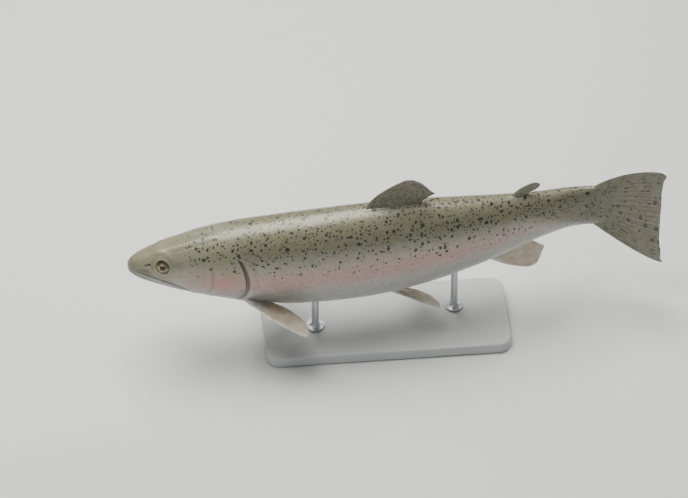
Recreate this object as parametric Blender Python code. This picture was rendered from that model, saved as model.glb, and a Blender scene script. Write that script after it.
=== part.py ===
"""A life-size rainbow trout holding its place in a current, on a plain display stand.

The fish is modelled straight along X, snout at the low end and its left side towards -Y, then bent
sideways along its spine. Outlines are in shares of the fish's length; everything else is in metres.
The origin is the middle of the stand's underside, with +Z up.
"""

import math

import bmesh
import bpy
import numpy as np
from mathutils import Matrix, Vector

# Driving dimensions.
LENGTH = 0.600  # snout to the tips of the tail fin
AXIS_HEIGHT = 0.124  # the snout's height over the floor
GAP = 0.0003  # clearance between neighbouring solids
SPINE_START = 0.470  # share of the length that stands over the middle of the base

# Side and top outlines of the body: (share of length from the snout, share of length).
BACK = [(0, 0.001), (0.004, 0.0115), (0.02, 0.0240), (0.05, 0.0385), (0.09, 0.0550), (0.15, 0.0750),
        (0.22, 0.0895), (0.32, 0.101), (0.43, 0.1045), (0.53, 0.098), (0.63, 0.083), (0.72, 0.065),
        (0.80, 0.0520), (0.85, 0.0485), (0.88, 0.0505)]
BELLY = [(0, -0.001), (0.004, -0.0120), (0.02, -0.0245), (0.05, -0.0375), (0.09, -0.0510),
         (0.15, -0.0695), (0.22, -0.0850), (0.32, -0.098), (0.43, -0.1010), (0.53, -0.0930),
         (0.63, -0.0750), (0.70, -0.0600), (0.76, -0.0485), (0.82, -0.0440), (0.88, -0.0455)]
HALF_WIDTH = [(0, 0.001), (0.004, 0.0120), (0.02, 0.0230), (0.05, 0.0330), (0.09, 0.0430),
              (0.15, 0.0540), (0.22, 0.0595), (0.33, 0.0610), (0.43, 0.0590), (0.53, 0.0535),
              (0.63, 0.0440), (0.72, 0.0330), (0.80, 0.0230), (0.85, 0.0170), (0.88, 0.0140)]
WIDEST_LEVEL = [(0, 0), (0.10, -0.010), (0.20, -0.008), (0.40, 0.0), (0.88, 0.002)]
# Roundness of the section above and below its widest level: 2 is an ellipse, more is squarer.
UPPER_ROUNDNESS = [(0, 2.0), (0.06, 2.35), (0.15, 2.25), (0.30, 2.05), (0.88, 2.0)]
LOWER_ROUNDNESS = [(0, 2.0), (0.06, 1.85), (0.15, 1.9), (0.35, 2.2), (0.60, 2.1), (0.88, 2.0)]
BODY_END = 0.868  # where the scaled tail stalk meets the tail fin
BODY_STATIONS = 40
BODY_SIDES = 24

# The swimming bend: heading of the spine, in degrees to the X axis, along the fish.
HEADING = [(0, -2.0), (0.20, -2.5), (0.33, 2.0), (0.46, 6.0), (0.60, 10.0), (0.70, 14.0), (0.79, 15.0),
           (0.845, 3.0), (0.885, -14.0), (0.93, -21.0), (1.0, -24.0)]

# Cuts across the body.
TRUNK_CUT = 0.440
VENT_CUT = 0.662
GILL_REAR = 0.212  # rearmost point of the gill cover's edge
GILL_LEVEL = -0.006
GILL_TOP, GILL_BOTTOM = 0.044, -0.062
CHEEK_FRONT = 0.130  # foremost point of the gill cover's front edge
JAW_CORNER = 0.104
COVER_THICKNESS = 0.0042
LIP_THICKNESS = 0.0026

EYE_RADIUS = 0.0076
EYE_AT = (0.064, 0.0190)  # along the head, and up
EYE_PROUD = 0.0016

ROD_RADIUS = 0.004
ROD_SOCKET = 0.014
ROD_PLACES = {"stand_rod_front": 0.340, "stand_rod_rear": 0.600}
BASE_SIZE = (0.270, 0.105, 0.014)


def curve(points, at):
    """Smooth curve through (share, value) points with no overshoot, rounded where the share nears 0."""
    x = np.sqrt([p[0] for p in points])
    y = np.array([p[1] for p in points], float)
    step, rise = np.diff(x), np.diff(y) / np.diff(x)
    slope = np.concatenate([[rise[0]], np.zeros(len(x) - 2), [rise[-1]]])
    for i in range(1, len(x) - 1):
        if rise[i - 1] * rise[i] > 0:
            near, far = 2 * step[i] + step[i - 1], step[i] + 2 * step[i - 1]
            slope[i] = (near + far) / (near / rise[i - 1] + far / rise[i])
    u = np.clip(np.sqrt(np.maximum(at, 0)), x[0], x[-1])
    i = np.clip(np.searchsorted(x, u) - 1, 0, len(step) - 1)
    k = (u - x[i]) / step[i]
    return float(y[i] * (1 + 2 * k) * (1 - k) ** 2 + y[i + 1] * k * k * (3 - 2 * k)
                 + step[i] * (slope[i] * k * (1 - k) ** 2 - slope[i + 1] * k * k * (1 - k)))


def object_of(name, bm):
    """Makes an object of a bmesh, with its faces pointing out."""
    bmesh.ops.recalc_face_normals(bm, faces=bm.faces)
    mesh = bpy.data.meshes.new(name)
    bm.to_mesh(mesh)
    bm.free()
    obj = bpy.data.objects.new(name, mesh)
    bpy.context.scene.collection.objects.link(obj)
    return obj


def combined(obj, other, operation):
    """Cuts or intersects obj with other, which is used up, and keeps the result in obj's own mesh."""
    modifier = obj.modifiers.new(operation.lower(), "BOOLEAN")
    modifier.operation = operation
    modifier.solver = "EXACT"
    modifier.object = other
    bpy.context.view_layer.update()
    evaluated = obj.evaluated_get(bpy.context.evaluated_depsgraph_get())
    mesh = bpy.data.meshes.new_from_object(evaluated)
    obj.modifiers.clear()
    obj.data = mesh
    bpy.data.objects.remove(other)
    return obj


def section(share, grown=0.0):
    """Half width, top, bottom, widest level and roundness of the body's section, in metres."""
    level = curve(WIDEST_LEVEL, share) * LENGTH
    least = 0.0004
    half = max(curve(HALF_WIDTH, share) * LENGTH + grown, least)
    top = max(curve(BACK, share) * LENGTH + grown, level + least)
    bottom = min(curve(BELLY, share) * LENGTH - grown, level - least)
    return half, top, bottom, level, curve(UPPER_ROUNDNESS, share), curve(LOWER_ROUNDNESS, share)


def section_point(share, angle, grown=0.0):
    """A point of the body's skin. Angle 0 is the right flank, and a quarter turn is the back."""
    half, top, bottom, level, upper, lower = section(share, grown)
    c, s = math.cos(angle), math.sin(angle)
    roundness = upper if s >= 0 else lower
    across = math.copysign(abs(c) ** (2 / roundness), c)
    up = abs(s) ** (2 / roundness)
    height = top - level if s >= 0 else bottom - level
    return Vector((share * LENGTH, half * across, level + height * up))


def flank_at(share, z, grown=0.0):
    """Half width of the body at a height z, in metres."""
    half, top, bottom, level, upper, lower = section(share, grown)
    roundness, reach = (upper, top - level) if z >= level else (lower, bottom - level)
    return half * max(0.0, 1 - abs((z - level) / reach) ** roundness) ** (1 / roundness)


def body(name, grown=0.0, end=BODY_END):
    """The whole straight body as one lofted solid, grown outwards or, if negative, drawn in."""
    bm = bmesh.new()
    edges = []
    for i in range(BODY_STATIONS + 1):
        share = end * (i / BODY_STATIONS) ** 1.45
        ring = bmesh.ops.create_circle(bm, segments=BODY_SIDES, radius=1.0)["verts"]
        for k, vert in enumerate(ring):
            vert.co = section_point(share, 2 * math.pi * k / BODY_SIDES, grown)
            if i == 0:
                vert.co.x -= grown
        edges.append([e for e in bm.edges if e.verts[0] in ring and e.verts[1] in ring])
    for before, after in zip(edges, edges[1:]):
        bmesh.ops.bridge_loops(bm, edges=before + after)
    for ring in (edges[0], edges[-1]):
        bmesh.ops.contextual_create(bm, geom=ring)
    return object_of(name, bm)


def prism(name, outline, low_y=-1.0, high_y=1.0):
    """A side outline, in shares of the length, extruded across the fish."""
    bm = bmesh.new()
    face = bm.faces.new([bm.verts.new((x * LENGTH, low_y, z * LENGTH)) for x, z in outline])
    made = bmesh.ops.extrude_face_region(bm, geom=[face])["geom"]
    tops = [v for v in made if isinstance(v, bmesh.types.BMVert)]
    bmesh.ops.translate(bm, verts=tops, vec=(0, high_y - low_y, 0))
    return object_of(name, bm)


def gill_edge(z):
    """Rear edge of the gill cover at a height, which is also where head and trunk part."""
    sweep = 4.9 if z > GILL_LEVEL else 7.0
    return GILL_REAR - sweep * (z - GILL_LEVEL) ** 2


def cheek_edge(z):
    """Front edge of the gill cover."""
    return CHEEK_FRONT + 6.0 * (z + 0.012) ** 2


def mouth_line(share):
    return -0.0045 - 0.27 * share


def between(low, high, steps):
    return [low + (high - low) * i / steps for i in range(steps + 1)]


def sided(side):
    """Bounds across the fish of one of its halves: side is -1 on its left and 1 on its right."""
    middle = 0.006 * side
    return (-1.0, middle) if side < 0 else (middle, 1.0)


def make_lengths():
    """Head, trunk and tail stalk: the body parted by thin cuts across it."""
    far, gap = 0.3, GAP / LENGTH
    rim = [(gill_edge(z), z) for z in between(0.13, -0.13, 20)]
    head_region = prism("head_region", [(-far, far)] + [(rim[0][0], far)] + rim
                        + [(rim[-1][0], -far), (-far, -far)])
    rear = [(x + gap, z) for x, z in reversed(rim)]
    cuts = {
        "trunk_front": [(TRUNK_CUT, far), (TRUNK_CUT, -far), (rear[0][0], -far)] + rear
        + [(rear[-1][0], far)],
        "trunk_rear": [(TRUNK_CUT + gap, far), (TRUNK_CUT + gap, -far), (VENT_CUT, -far),
                       (VENT_CUT, far)],
        "tail_stalk": [(VENT_CUT + gap, far), (VENT_CUT + gap, -far), (1, -far), (1, far)],
    }
    whole = body("head")
    made = {"head": combined(whole, head_region, "INTERSECT")}
    for name, outline in cuts.items():
        made[name] = combined(body(name), prism(name + "_region", outline), "INTERSECT")
    return made


def make_jaws(head):
    """The lower jaw under the mouth line, and the thin upper lip bone on each side above it."""
    gap = GAP / LENGTH
    lips = [(x, mouth_line(x)) for x in between(-0.01, JAW_CORNER, 8)]
    jaw_outline = lips + [(JAW_CORNER + 0.030, -0.2), (-0.01, -0.2)]
    jaw = combined(body("lower_jaw"), prism("jaw_region", jaw_outline), "INTERSECT")
    space = [(x, z + gap) for x, z in lips] + [(JAW_CORNER + 0.030 + gap * 1.5, -0.2), (-0.02, -0.2)]
    combined(head, prism("jaw_space", space), "DIFFERENCE")
    made = {"lower_jaw": jaw}
    for name, side in (("upper_lip_left", -1), ("upper_lip_right", 1)):
        low = [(x, mouth_line(x) + 2 * gap) for x in between(0.014, 0.100, 8)]
        depth = [0.009 + 0.003 * math.sin(math.pi * i / 8) for i in range(9)]
        high = [(x, z + d) for (x, z), d in zip(low, depth)]
        bounds = sided(side)
        outline = low + list(reversed(high))
        lip = combined(body(name), prism(name + "_region", outline, *bounds), "INTERSECT")
        made[name] = combined(lip, body(name + "_bed", -LIP_THICKNESS), "DIFFERENCE")
        room = [(x - gap, z - 3 * gap) for x, z in low] + [(0.100 + gap, low[-1][1] - 3 * gap)]
        room += [(0.100 + gap, high[-1][1] + gap)] + [(x - gap, z + gap) for x, z in reversed(high)]
        slot = prism(name + "_slot", room, *bounds)
        combined(slot, body(name + "_floor", -LIP_THICKNESS - GAP), "DIFFERENCE")
        combined(head, slot, "DIFFERENCE")
    return made


def arch(start, end, rise, steps=6):
    """Points between two ends of an outline, along a shallow arch."""
    return [(start[0] + (end[0] - start[0]) * k, start[1] + (end[1] - start[1]) * k
             + rise * math.sin(math.pi * k)) for k in between(0, 1, steps)[1:-1]]


def make_gill_covers(head):
    """The bony plate over each gill, set in the side of the head by its own thickness."""
    gap = GAP / LENGTH
    heights = between(GILL_BOTTOM, GILL_TOP, 10)
    front = [(cheek_edge(z), z) for z in heights]
    rear = [(gill_edge(z), z) for z in reversed(heights)]
    crown = arch(front[-1], rear[0], 0.009)
    keel = arch(rear[-1], front[0], -0.006)
    made = {}
    for name, side in (("gill_cover_left", -1), ("gill_cover_right", 1)):
        bounds = sided(side)
        outline = front + crown + rear + keel
        plate = combined(body(name), prism(name + "_region", outline, *bounds), "INTERSECT")
        made[name] = combined(plate, body(name + "_bed", -COVER_THICKNESS), "DIFFERENCE")
        room = [(x - gap, z) for x, z in front] + [(x, z + gap) for x, z in crown]
        room += [(0.3, rear[0][1] + gap), (0.3, rear[-1][1] - gap)] + [(x, z - gap) for x, z in keel]
        slot = prism(name + "_slot", room, *bounds)
        combined(slot, body(name + "_floor", -COVER_THICKNESS - GAP), "DIFFERENCE")
        combined(head, slot, "DIFFERENCE")
    return made


def ball(name, radius, centre):
    bm = bmesh.new()
    turned = Matrix.Translation(centre) @ Matrix.Rotation(math.pi / 2, 4, "X")
    bmesh.ops.create_uvsphere(bm, u_segments=16, v_segments=10, radius=radius, matrix=turned)
    return object_of(name, bm)


def make_eyes(head):
    """Each eye is a ball in its socket that stands a little proud of the cheek."""
    share, up = EYE_AT
    out = flank_at(share, up * LENGTH) + EYE_PROUD - EYE_RADIUS
    made = {}
    for name, side in (("eye_left", -1), ("eye_right", 1)):
        centre = Vector((share * LENGTH, side * out, up * LENGTH))
        made[name] = ball(name, EYE_RADIUS, centre)
        combined(head, ball(name + "_socket", EYE_RADIUS + GAP, centre), "DIFFERENCE")
    return made


def fan(name, columns, rows, place):
    """A thin fin: place(a, r, side) gives a point of ray a, from 0 to 1, at r along it, on one face."""
    bm = bmesh.new()
    bmesh.ops.create_grid(bm, x_segments=columns, y_segments=rows, size=0.5)
    near = set(bm.verts)
    bmesh.ops.extrude_face_region(bm, geom=bm.faces[:], use_keep_orig=True)
    for vert in bm.verts:
        a, r = vert.co.x + 0.5, vert.co.y + 0.5
        vert.co = place(a, r, 1 if vert in near else -1)
    return object_of(name, bm)


def thickness(r, root, edge):
    """A fin's thickness at r along its rays: it thins quickly out of a fleshy root."""
    return edge + (root - edge) * max(0.0, 1 - r) ** 2.2


def ray_of(rays, a):
    """Length in metres and angle in radians of ray a, from a list of (a, share of length, degrees)."""
    length = curve([(x[0], x[1]) for x in rays], a) * LENGTH
    return length, math.radians(curve([(x[0], x[2]) for x in rays], a))


def clear_of_body(fin):
    """Ends a fin on the body's skin, a gap away from it."""
    return combined(fin, body(fin.name + "_bed", GAP), "DIFFERENCE")


def swept(a, free, length, sweep):
    """How far a ray has bent back, in radians, on the way to a point; the leading rays bend most."""
    return sweep * (1 - 0.7 * a) * free / length / 2


def median_fin(name, outline, first, last, rays, root, edge, up, size, sweep, curl=0.0):
    """A fin on the midline, whose rays lean back by an angle. up is 1 on the back and -1 below."""
    def place(a, r, side):
        share = first + (last - first) * a
        length, lean = ray_of(rays, a)
        sunk = 0.014
        out = (length + sunk) * r - sunk
        lean -= swept(a, max(out, 0), length, sweep)
        across = side * thickness(max(out, 0) / length, root, edge) / 2 + curl * max(out, 0) ** 2
        return Vector((share * LENGTH + out * math.cos(lean), across,
                       curve(outline, share) * LENGTH + up * out * math.sin(lean)))
    return clear_of_body(fan(name, *size, place))


def paired_fin(name, share, level, direction, across, width, rays, root, edge, size, sweep):
    """A fin on one side of the body. direction is its middle ray's, and across runs to its last ray."""
    side = math.copysign(1, direction[1])
    u = Vector(direction).normalized()
    v = Vector(across)
    v = (v - u * v.dot(u)).normalized()
    normal = u.cross(v)
    z = level * LENGTH
    origin = Vector((share * LENGTH, side * flank_at(share, z), z))

    def place(a, r, face):
        length, turn = ray_of(rays, a)
        sunk = 0.010
        out = (length + sunk) * r - sunk
        turn += swept(a, max(out, 0), length, sweep)
        thick = thickness(max(out, 0) / length, root, edge)
        bow = 1.2 * max(out, 0) ** 2
        start = origin + v * (a - 0.5) * width * LENGTH
        return (start + (u * math.cos(turn) + v * math.sin(turn)) * out
                + normal * (face * thick / 2) - Vector((0, side * bow, 0)))
    return clear_of_body(fan(name, *size, place))


def make_tail_fin():
    """The tail fin: as thick as the tail stalk where they meet, then thin, wide and barely forked."""
    half, top, bottom, _, _, _ = section(BODY_END)
    start = BODY_END * LENGTH + GAP
    middle, reach = (top + bottom) / 2, (top - bottom) / 2
    tip_height, fork, edge = 0.114 * LENGTH, 0.010 * LENGTH, 0.0012

    def place(a, r, side):
        v = 2 * a - 1
        root_z = middle + v * reach
        tip_z = tip_height * math.copysign(math.sin(math.pi / 2 * abs(v) ** 0.9) ** 0.95, v)
        rounding = 0.013 * LENGTH * max(0, (abs(v) - 0.72) / 0.28) ** 3
        tip_x = LENGTH - fork * (1 - (abs(v) / 0.8) ** 1.6 if abs(v) < 0.8 else 0) - rounding
        spread = 1 - (1 - r) ** 1.55
        stalk = half * math.sqrt(max(0, 1 - v * v))
        thick = max(edge, 2 * stalk * (1 - r) ** 5, edge * 2.2 * (1 - r))
        return Vector((start + (tip_x - start) * r, side * thick / 2,
                       root_z + (tip_z - root_z) * spread))
    return fan("tail_fin", 22, 9, place)


def make_fins():
    made = {"tail_fin": make_tail_fin()}
    made["dorsal_fin"] = median_fin(
        "dorsal_fin", BACK, 0.430, 0.532,
        [(0, 0.052, 60), (0.05, 0.077, 58), (0.12, 0.090, 56), (0.22, 0.0895, 53), (0.4, 0.079, 49),
         (0.6, 0.064, 45), (0.8, 0.049, 42), (1, 0.036, 39)],
        0.0060, 0.0012, 1, (15, 7), 0.42, curl=-1.0)
    made["adipose_fin"] = median_fin(
        "adipose_fin", BACK, 0.706, 0.731,
        [(0, 0.018, 52), (0.12, 0.032, 47), (0.35, 0.042, 39), (0.6, 0.043, 31), (0.85, 0.036, 24),
         (1, 0.022, 20)],
        0.0052, 0.0018, 1, (8, 5), 0.35)
    made["anal_fin"] = median_fin(
        "anal_fin", BELLY, 0.657, 0.742,
        [(0, 0.050, 50), (0.05, 0.074, 48), (0.12, 0.090, 47), (0.20, 0.0955, 45), (0.30, 0.0945, 44),
         (0.45, 0.086, 43), (0.7, 0.067, 43), (1, 0.043, 45)],
        0.0055, 0.0012, -1, (13, 7), 0.40, curl=-0.6)
    pectoral = [(0, 0.080, -9), (0.06, 0.110, -8), (0.15, 0.124, -6), (0.3, 0.122, -2),
                (0.5, 0.110, 4), (0.7, 0.092, 10), (0.88, 0.070, 17), (1, 0.050, 22)]
    pelvic = [(0, 0.056, -10), (0.06, 0.078, -9), (0.15, 0.087, -6), (0.35, 0.084, 0),
              (0.6, 0.071, 8), (0.82, 0.056, 14), (1, 0.040, 20)]
    for word, side in (("left", -1), ("right", 1)):
        made["pectoral_fin_" + word] = paired_fin(
            "pectoral_fin_" + word, 0.226, -0.057, (0.74, 0.60 * side, -0.28),
            (0.50, -0.60 * side, -0.30), 0.032, pectoral, 0.0050, 0.0012, (11, 7), 0.30)
        made["pelvic_fin_" + word] = paired_fin(
            "pelvic_fin_" + word, 0.488, -0.089, (0.84, 0.38 * side, -0.36),
            (0.30, -0.80 * side, -0.30), 0.026, pelvic, 0.0045, 0.0012, (10, 6), 0.30)
    return made


def spine():
    """Shares along the fish with the spine's place and heading there, the bend kept true to length."""
    shares = np.linspace(0, 1.02, 400)
    heading = np.radians([curve(HEADING, s) for s in shares])
    step = np.diff(shares, prepend=shares[0]) * LENGTH
    x, y = np.cumsum(step * np.cos(heading)), np.cumsum(step * np.sin(heading))
    start = [np.interp(SPINE_START, shares, line) for line in (x, y)]
    return shares, x - start[0], y - start[1], heading


def bent(point, line):
    """A point of the straight fish, moved to where the bent spine carries it, over the stand."""
    shares, x, y, heading = line
    share = point[0] / LENGTH
    turn = np.interp(share, shares, heading)
    before = min(share, 0.0) * LENGTH
    return Vector((np.interp(share, shares, x) + before * math.cos(turn) - point[1] * math.sin(turn),
                   np.interp(share, shares, y) + before * math.sin(turn) + point[1] * math.cos(turn),
                   point[2] + AXIS_HEIGHT))


def bend_fish(parts):
    line = spine()
    for obj in parts:
        for vert in obj.data.vertices:
            vert.co = bent(vert.co, line)
        obj.data.update()


def make_base():
    """A flat plinth with round corners and eased edges."""
    bm = bmesh.new()
    bmesh.ops.create_cube(bm, size=1.0)
    bmesh.ops.scale(bm, vec=BASE_SIZE, verts=bm.verts)
    bmesh.ops.translate(bm, vec=(0, 0, BASE_SIZE[2] / 2), verts=bm.verts)
    corners = [e for e in bm.edges if abs(e.verts[0].co.z - e.verts[1].co.z) > 1e-6]
    bmesh.ops.bevel(bm, geom=corners, offset=0.014, segments=6, affect="EDGES", profile=0.5)
    rims = [e for e in bm.edges if abs(e.calc_face_angle(0) - math.pi / 2) < 0.2
            and min(v.co.z for v in e.verts) > BASE_SIZE[2] - 1e-6]
    bmesh.ops.bevel(bm, geom=rims, offset=0.002, segments=3, affect="EDGES", profile=0.5)
    return object_of("stand_base", bm)


def turned(name, profile, place):
    """A round piece on a vertical axis, spun from (radius, height) points."""
    bm = bmesh.new()
    verts = [bm.verts.new((r, 0, z)) for r, z in profile]
    edges = [bm.edges.new(pair) for pair in zip(verts, verts[1:])]
    bmesh.ops.spin(bm, geom=verts + edges, cent=(0, 0, 0), axis=(0, 0, 1), angle=2 * math.pi,
                   steps=20, use_merge=True)
    bmesh.ops.remove_doubles(bm, verts=bm.verts, dist=1e-6)
    bmesh.ops.translate(bm, vec=place, verts=bm.verts)
    return object_of(name, bm)


def make_rods(trunk):
    """A turned steel rod with a foot on the plinth, let into a socket in the belly."""
    line = spine()
    foot = BASE_SIZE[2] + GAP
    made = {}
    for (name, share), flesh in zip(ROD_PLACES.items(), trunk):
        belly = bent((share * LENGTH, 0, curve(BELLY, share) * LENGTH), line)
        top = belly.z + ROD_SOCKET
        place = (belly.x, belly.y, 0)
        profile = [(0, foot), (0.010, foot), (0.010, foot + 0.002), (0.0065, foot + 0.0045),
                   (ROD_RADIUS, foot + 0.007), (ROD_RADIUS, top - 0.001), (ROD_RADIUS - 0.001, top),
                   (0, top)]
        made[name] = turned(name, profile, place)
        wide = ROD_RADIUS + GAP
        drill = [(0, belly.z - 0.02), (wide, belly.z - 0.02), (wide, top + GAP), (0, top + GAP)]
        combined(flesh, turned(name + "_drill", drill, place), "DIFFERENCE")
    return made


def material(name, colour, roughness, metallic=0.0):
    made = bpy.data.materials.new(name)
    made.use_nodes = True
    shader = made.node_tree.nodes["Principled BSDF"]
    shader.inputs["Base Color"].default_value = (*colour, 1)
    shader.inputs["Roughness"].default_value = roughness
    shader.inputs["Metallic"].default_value = metallic
    return made


def paint(parts):
    """Each sub-part gets a material of its own, in the colours of its kind."""
    kinds = [
        ("eye", (0.06, 0.05, 0.03), 0.08, 0.0),
        ("stand_base", (0.55, 0.53, 0.49), 0.5, 0.0),
        ("stand_rod", (0.60, 0.60, 0.61), 0.3, 1.0),
        ("lower_jaw", (0.48, 0.47, 0.42), 0.4, 0.0),
        ("upper_lip", (0.30, 0.29, 0.22), 0.4, 0.0),
        ("gill_cover", (0.48, 0.30, 0.27), 0.35, 0.1),
        ("head", (0.20, 0.21, 0.14), 0.4, 0.0),
        ("tail_fin", (0.20, 0.21, 0.15), 0.5, 0.0),
        ("dorsal_fin", (0.17, 0.18, 0.12), 0.5, 0.0),
        ("adipose_fin", (0.20, 0.21, 0.14), 0.5, 0.0),
        ("anal_fin", (0.42, 0.31, 0.27), 0.5, 0.0),
        ("pectoral_fin", (0.42, 0.33, 0.28), 0.5, 0.0),
        ("pelvic_fin", (0.45, 0.33, 0.29), 0.5, 0.0),
        ("trunk", (0.34, 0.33, 0.26), 0.4, 0.1),
        ("tail_stalk", (0.33, 0.32, 0.25), 0.4, 0.1),
    ]
    for name, obj in parts.items():
        _, colour, roughness, metallic = next(k for k in kinds if name.startswith(k[0]))
        obj.data.materials.clear()
        obj.data.materials.append(material(name, colour, roughness, metallic))


def shade(parts, degrees=32):
    for obj in parts.values():
        obj.data.shade_smooth()
        obj.data.set_sharp_from_angle(angle=math.radians(degrees))


def main():
    for obj in list(bpy.data.objects):
        bpy.data.objects.remove(obj)
    fish = make_lengths()
    head = fish["head"]
    fish |= make_jaws(head) | make_gill_covers(head) | make_eyes(head) | make_fins()
    bend_fish(fish.values())
    stand = {"stand_base": make_base()}
    stand |= make_rods([fish["trunk_front"], fish["trunk_rear"]])
    whole = bpy.data.objects.new("rainbow_trout", None)
    bpy.context.scene.collection.objects.link(whole)
    parts = fish | stand
    for obj in parts.values():
        obj.parent = whole
    paint(parts)
    shade(parts)


main()
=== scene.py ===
import math

import bpy
import numpy as np
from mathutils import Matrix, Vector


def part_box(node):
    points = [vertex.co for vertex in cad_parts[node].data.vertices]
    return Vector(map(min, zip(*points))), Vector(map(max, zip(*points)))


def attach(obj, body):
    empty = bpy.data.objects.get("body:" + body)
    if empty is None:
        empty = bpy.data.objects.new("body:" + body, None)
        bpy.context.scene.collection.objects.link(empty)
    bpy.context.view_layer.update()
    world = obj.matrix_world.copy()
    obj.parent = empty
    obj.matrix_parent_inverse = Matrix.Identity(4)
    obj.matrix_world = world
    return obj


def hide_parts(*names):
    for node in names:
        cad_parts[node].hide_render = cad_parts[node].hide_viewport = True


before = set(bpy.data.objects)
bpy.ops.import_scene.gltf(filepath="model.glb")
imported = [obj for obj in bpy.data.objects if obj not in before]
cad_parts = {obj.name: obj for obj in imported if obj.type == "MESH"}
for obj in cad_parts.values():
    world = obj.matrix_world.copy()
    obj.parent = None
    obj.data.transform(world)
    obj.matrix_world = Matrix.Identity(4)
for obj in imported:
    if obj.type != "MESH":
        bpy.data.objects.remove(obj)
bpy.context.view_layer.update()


# The display room: a pale seamless floor under one big overhead softbox and two weaker panels.
# The camera looks down on the fish's left side from slightly ahead of it, through a long lens.
FLOOR_SIZE = 30.0
FLOOR_COLOUR = (0.60, 0.61, 0.60)
FLOOR_COLOUR_LIGHT = (0.66, 0.665, 0.655)
ROOM_LIGHT = (0.80, 0.84, 0.88)
ROOM_LIGHT_STRENGTH = 0.30
CAMERA_LENS = 300.0
CAMERA_DISTANCE = 6.233
CAMERA_AZIMUTH = -5.3
CAMERA_ELEVATION = 45.0
CAMERA_AIM = (-0.0455, 0.0, 0.1250)


def put(tree, kind, feeds=(), **settings):
    """Adds a shader node, with its inputs fed by values or by other nodes' outputs."""
    node = tree.nodes.new("ShaderNode" + kind)
    for setting, value in settings.items():
        setattr(node, setting, value)
    for place, value in dict(feeds).items():
        if isinstance(value, bpy.types.NodeSocket):
            tree.links.new(value, node.inputs[place])
        else:
            node.inputs[place].default_value = value
    return node


def mixed(tree, factor, first, second, blend="MIX"):
    """Two colours mixed by a factor. A colour is three numbers or an output."""
    colours = [colour if isinstance(colour, bpy.types.NodeSocket) else (*colour, 1)
               for colour in (first, second)]
    return put(tree, "Mix", {0: factor, 6: colours[0], 7: colours[1]}, data_type="RGBA",
               blend_type=blend).outputs[2]


def stretched(tree, value, start, end, low, high, shape="LINEAR"):
    """A number that runs from start to end, made to run from low to high."""
    return put(tree, "MapRange", {0: value, 1: start, 2: end, 3: low, 4: high},
               interpolation_type=shape).outputs[0]


def noise(tree, place, scale, detail, roughness=0.5):
    """Cloudy noise: its first output is a number and its second a colour."""
    return put(tree, "TexNoise", {"Vector": place, "Scale": scale, "Detail": detail,
                                  "Roughness": roughness}).outputs


def bumped(tree, height, strength, distance):
    return put(tree, "Bump", {"Height": height, "Strength": strength, "Distance": distance}).outputs[0]


def begun(name, roughness, metallic=0.0, **constants):
    """A new material, its tree, and Object coordinates. Constants go on the shader's own sockets."""
    finish = bpy.data.materials.new(name)
    finish.use_nodes = True
    tree = finish.node_tree
    constants.update(Roughness=roughness, Metallic=metallic)
    for socket, value in constants.items():
        tree.nodes["Principled BSDF"].inputs[socket.replace("_", " ")].default_value = value
    return finish, tree, put(tree, "TexCoord").outputs["Object"]


def fed(tree, **outputs):
    """Joins outputs to the shader's sockets."""
    for socket, output in outputs.items():
        tree.links.new(output, tree.nodes["Principled BSDF"].inputs[socket.replace("_", " ")])


def deselected():
    """Nothing selected, so that the next operator works on the new piece alone."""
    if bpy.context.object and bpy.context.object.mode != "OBJECT":
        bpy.ops.object.mode_set(mode="OBJECT")
    bpy.ops.object.select_all(action="DESELECT")


def named(name):
    """Names the active object and its mesh."""
    piece = bpy.context.object
    piece.name = piece.data.name = name
    return piece


deselected()
bpy.ops.mesh.primitive_plane_add(size=FLOOR_SIZE, location=(0, 0, 0))
floor = named("floor")
floor_paint, tree, place = begun("floor_paint", 0.75)
clouds = noise(tree, place, 1.2, 3.0)
fed(tree, Base_Color=mixed(tree, clouds[0], FLOOR_COLOUR, FLOOR_COLOUR_LIGHT))
floor.data.materials.append(floor_paint)

world = bpy.data.worlds.new("studio")
world.use_nodes = True
background = world.node_tree.nodes["Background"]
background.inputs["Color"].default_value = (*ROOM_LIGHT, 1)
background.inputs["Strength"].default_value = ROOM_LIGHT_STRENGTH
bpy.context.scene.world = world

for name, at, size, power, colour in (
        ("overhead_softbox", (-0.35, 0.40, 1.7), 1.4, 68.0, (1.0, 0.985, 0.955)),
        ("front_panel", (-1.5, -1.6, 0.7), 1.0, 4.5, (0.95, 0.975, 1.0)),
        ("back_panel", (1.4, 1.6, 1.1), 0.9, 14.0, (1.0, 0.99, 0.97))):
    bpy.ops.object.light_add(type="AREA", location=at)
    lamp = named(name)
    lamp.data.size = size
    lamp.data.energy = power
    lamp.data.color = colour
    lamp.rotation_euler = (-lamp.location).to_track_quat("-Z", "Y").to_euler()

azimuth, elevation = math.radians(CAMERA_AZIMUTH), math.radians(CAMERA_ELEVATION)
towards_camera = np.array([math.sin(azimuth) * math.cos(elevation),
                           -math.cos(azimuth) * math.cos(elevation), math.sin(elevation)])
bpy.ops.object.camera_add(location=np.array(CAMERA_AIM) + CAMERA_DISTANCE * towards_camera,
                          rotation=(math.pi / 2 - elevation, 0, azimuth))
camera = named("camera")
camera.data.lens = CAMERA_LENS
camera.data.clip_end = 60.0
bpy.context.scene.camera = camera


# The plinth: a painted hardwood board with round corners and an eased top edge, which stands on a
# thin dark felt set in from its edge, so that a narrow shadow runs under it.
FELT_HEIGHT = 0.0016
FELT_INSET = 0.003
FELT_EDGE = 0.0003
CORNER_RADIUS = 0.014
EASED_EDGE = 0.0022
PAINT = (0.50, 0.51, 0.50)
PAINT_DEEP = (0.44, 0.45, 0.445)
FELT_LIGHT = (0.06, 0.062, 0.064)
FELT_DEEP = (0.02, 0.022, 0.024)


def bounded(name):
    """Middle and size of a solid's box."""
    low, high = (np.array(corner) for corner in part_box(name))
    return (low + high) / 2, high - low


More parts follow.
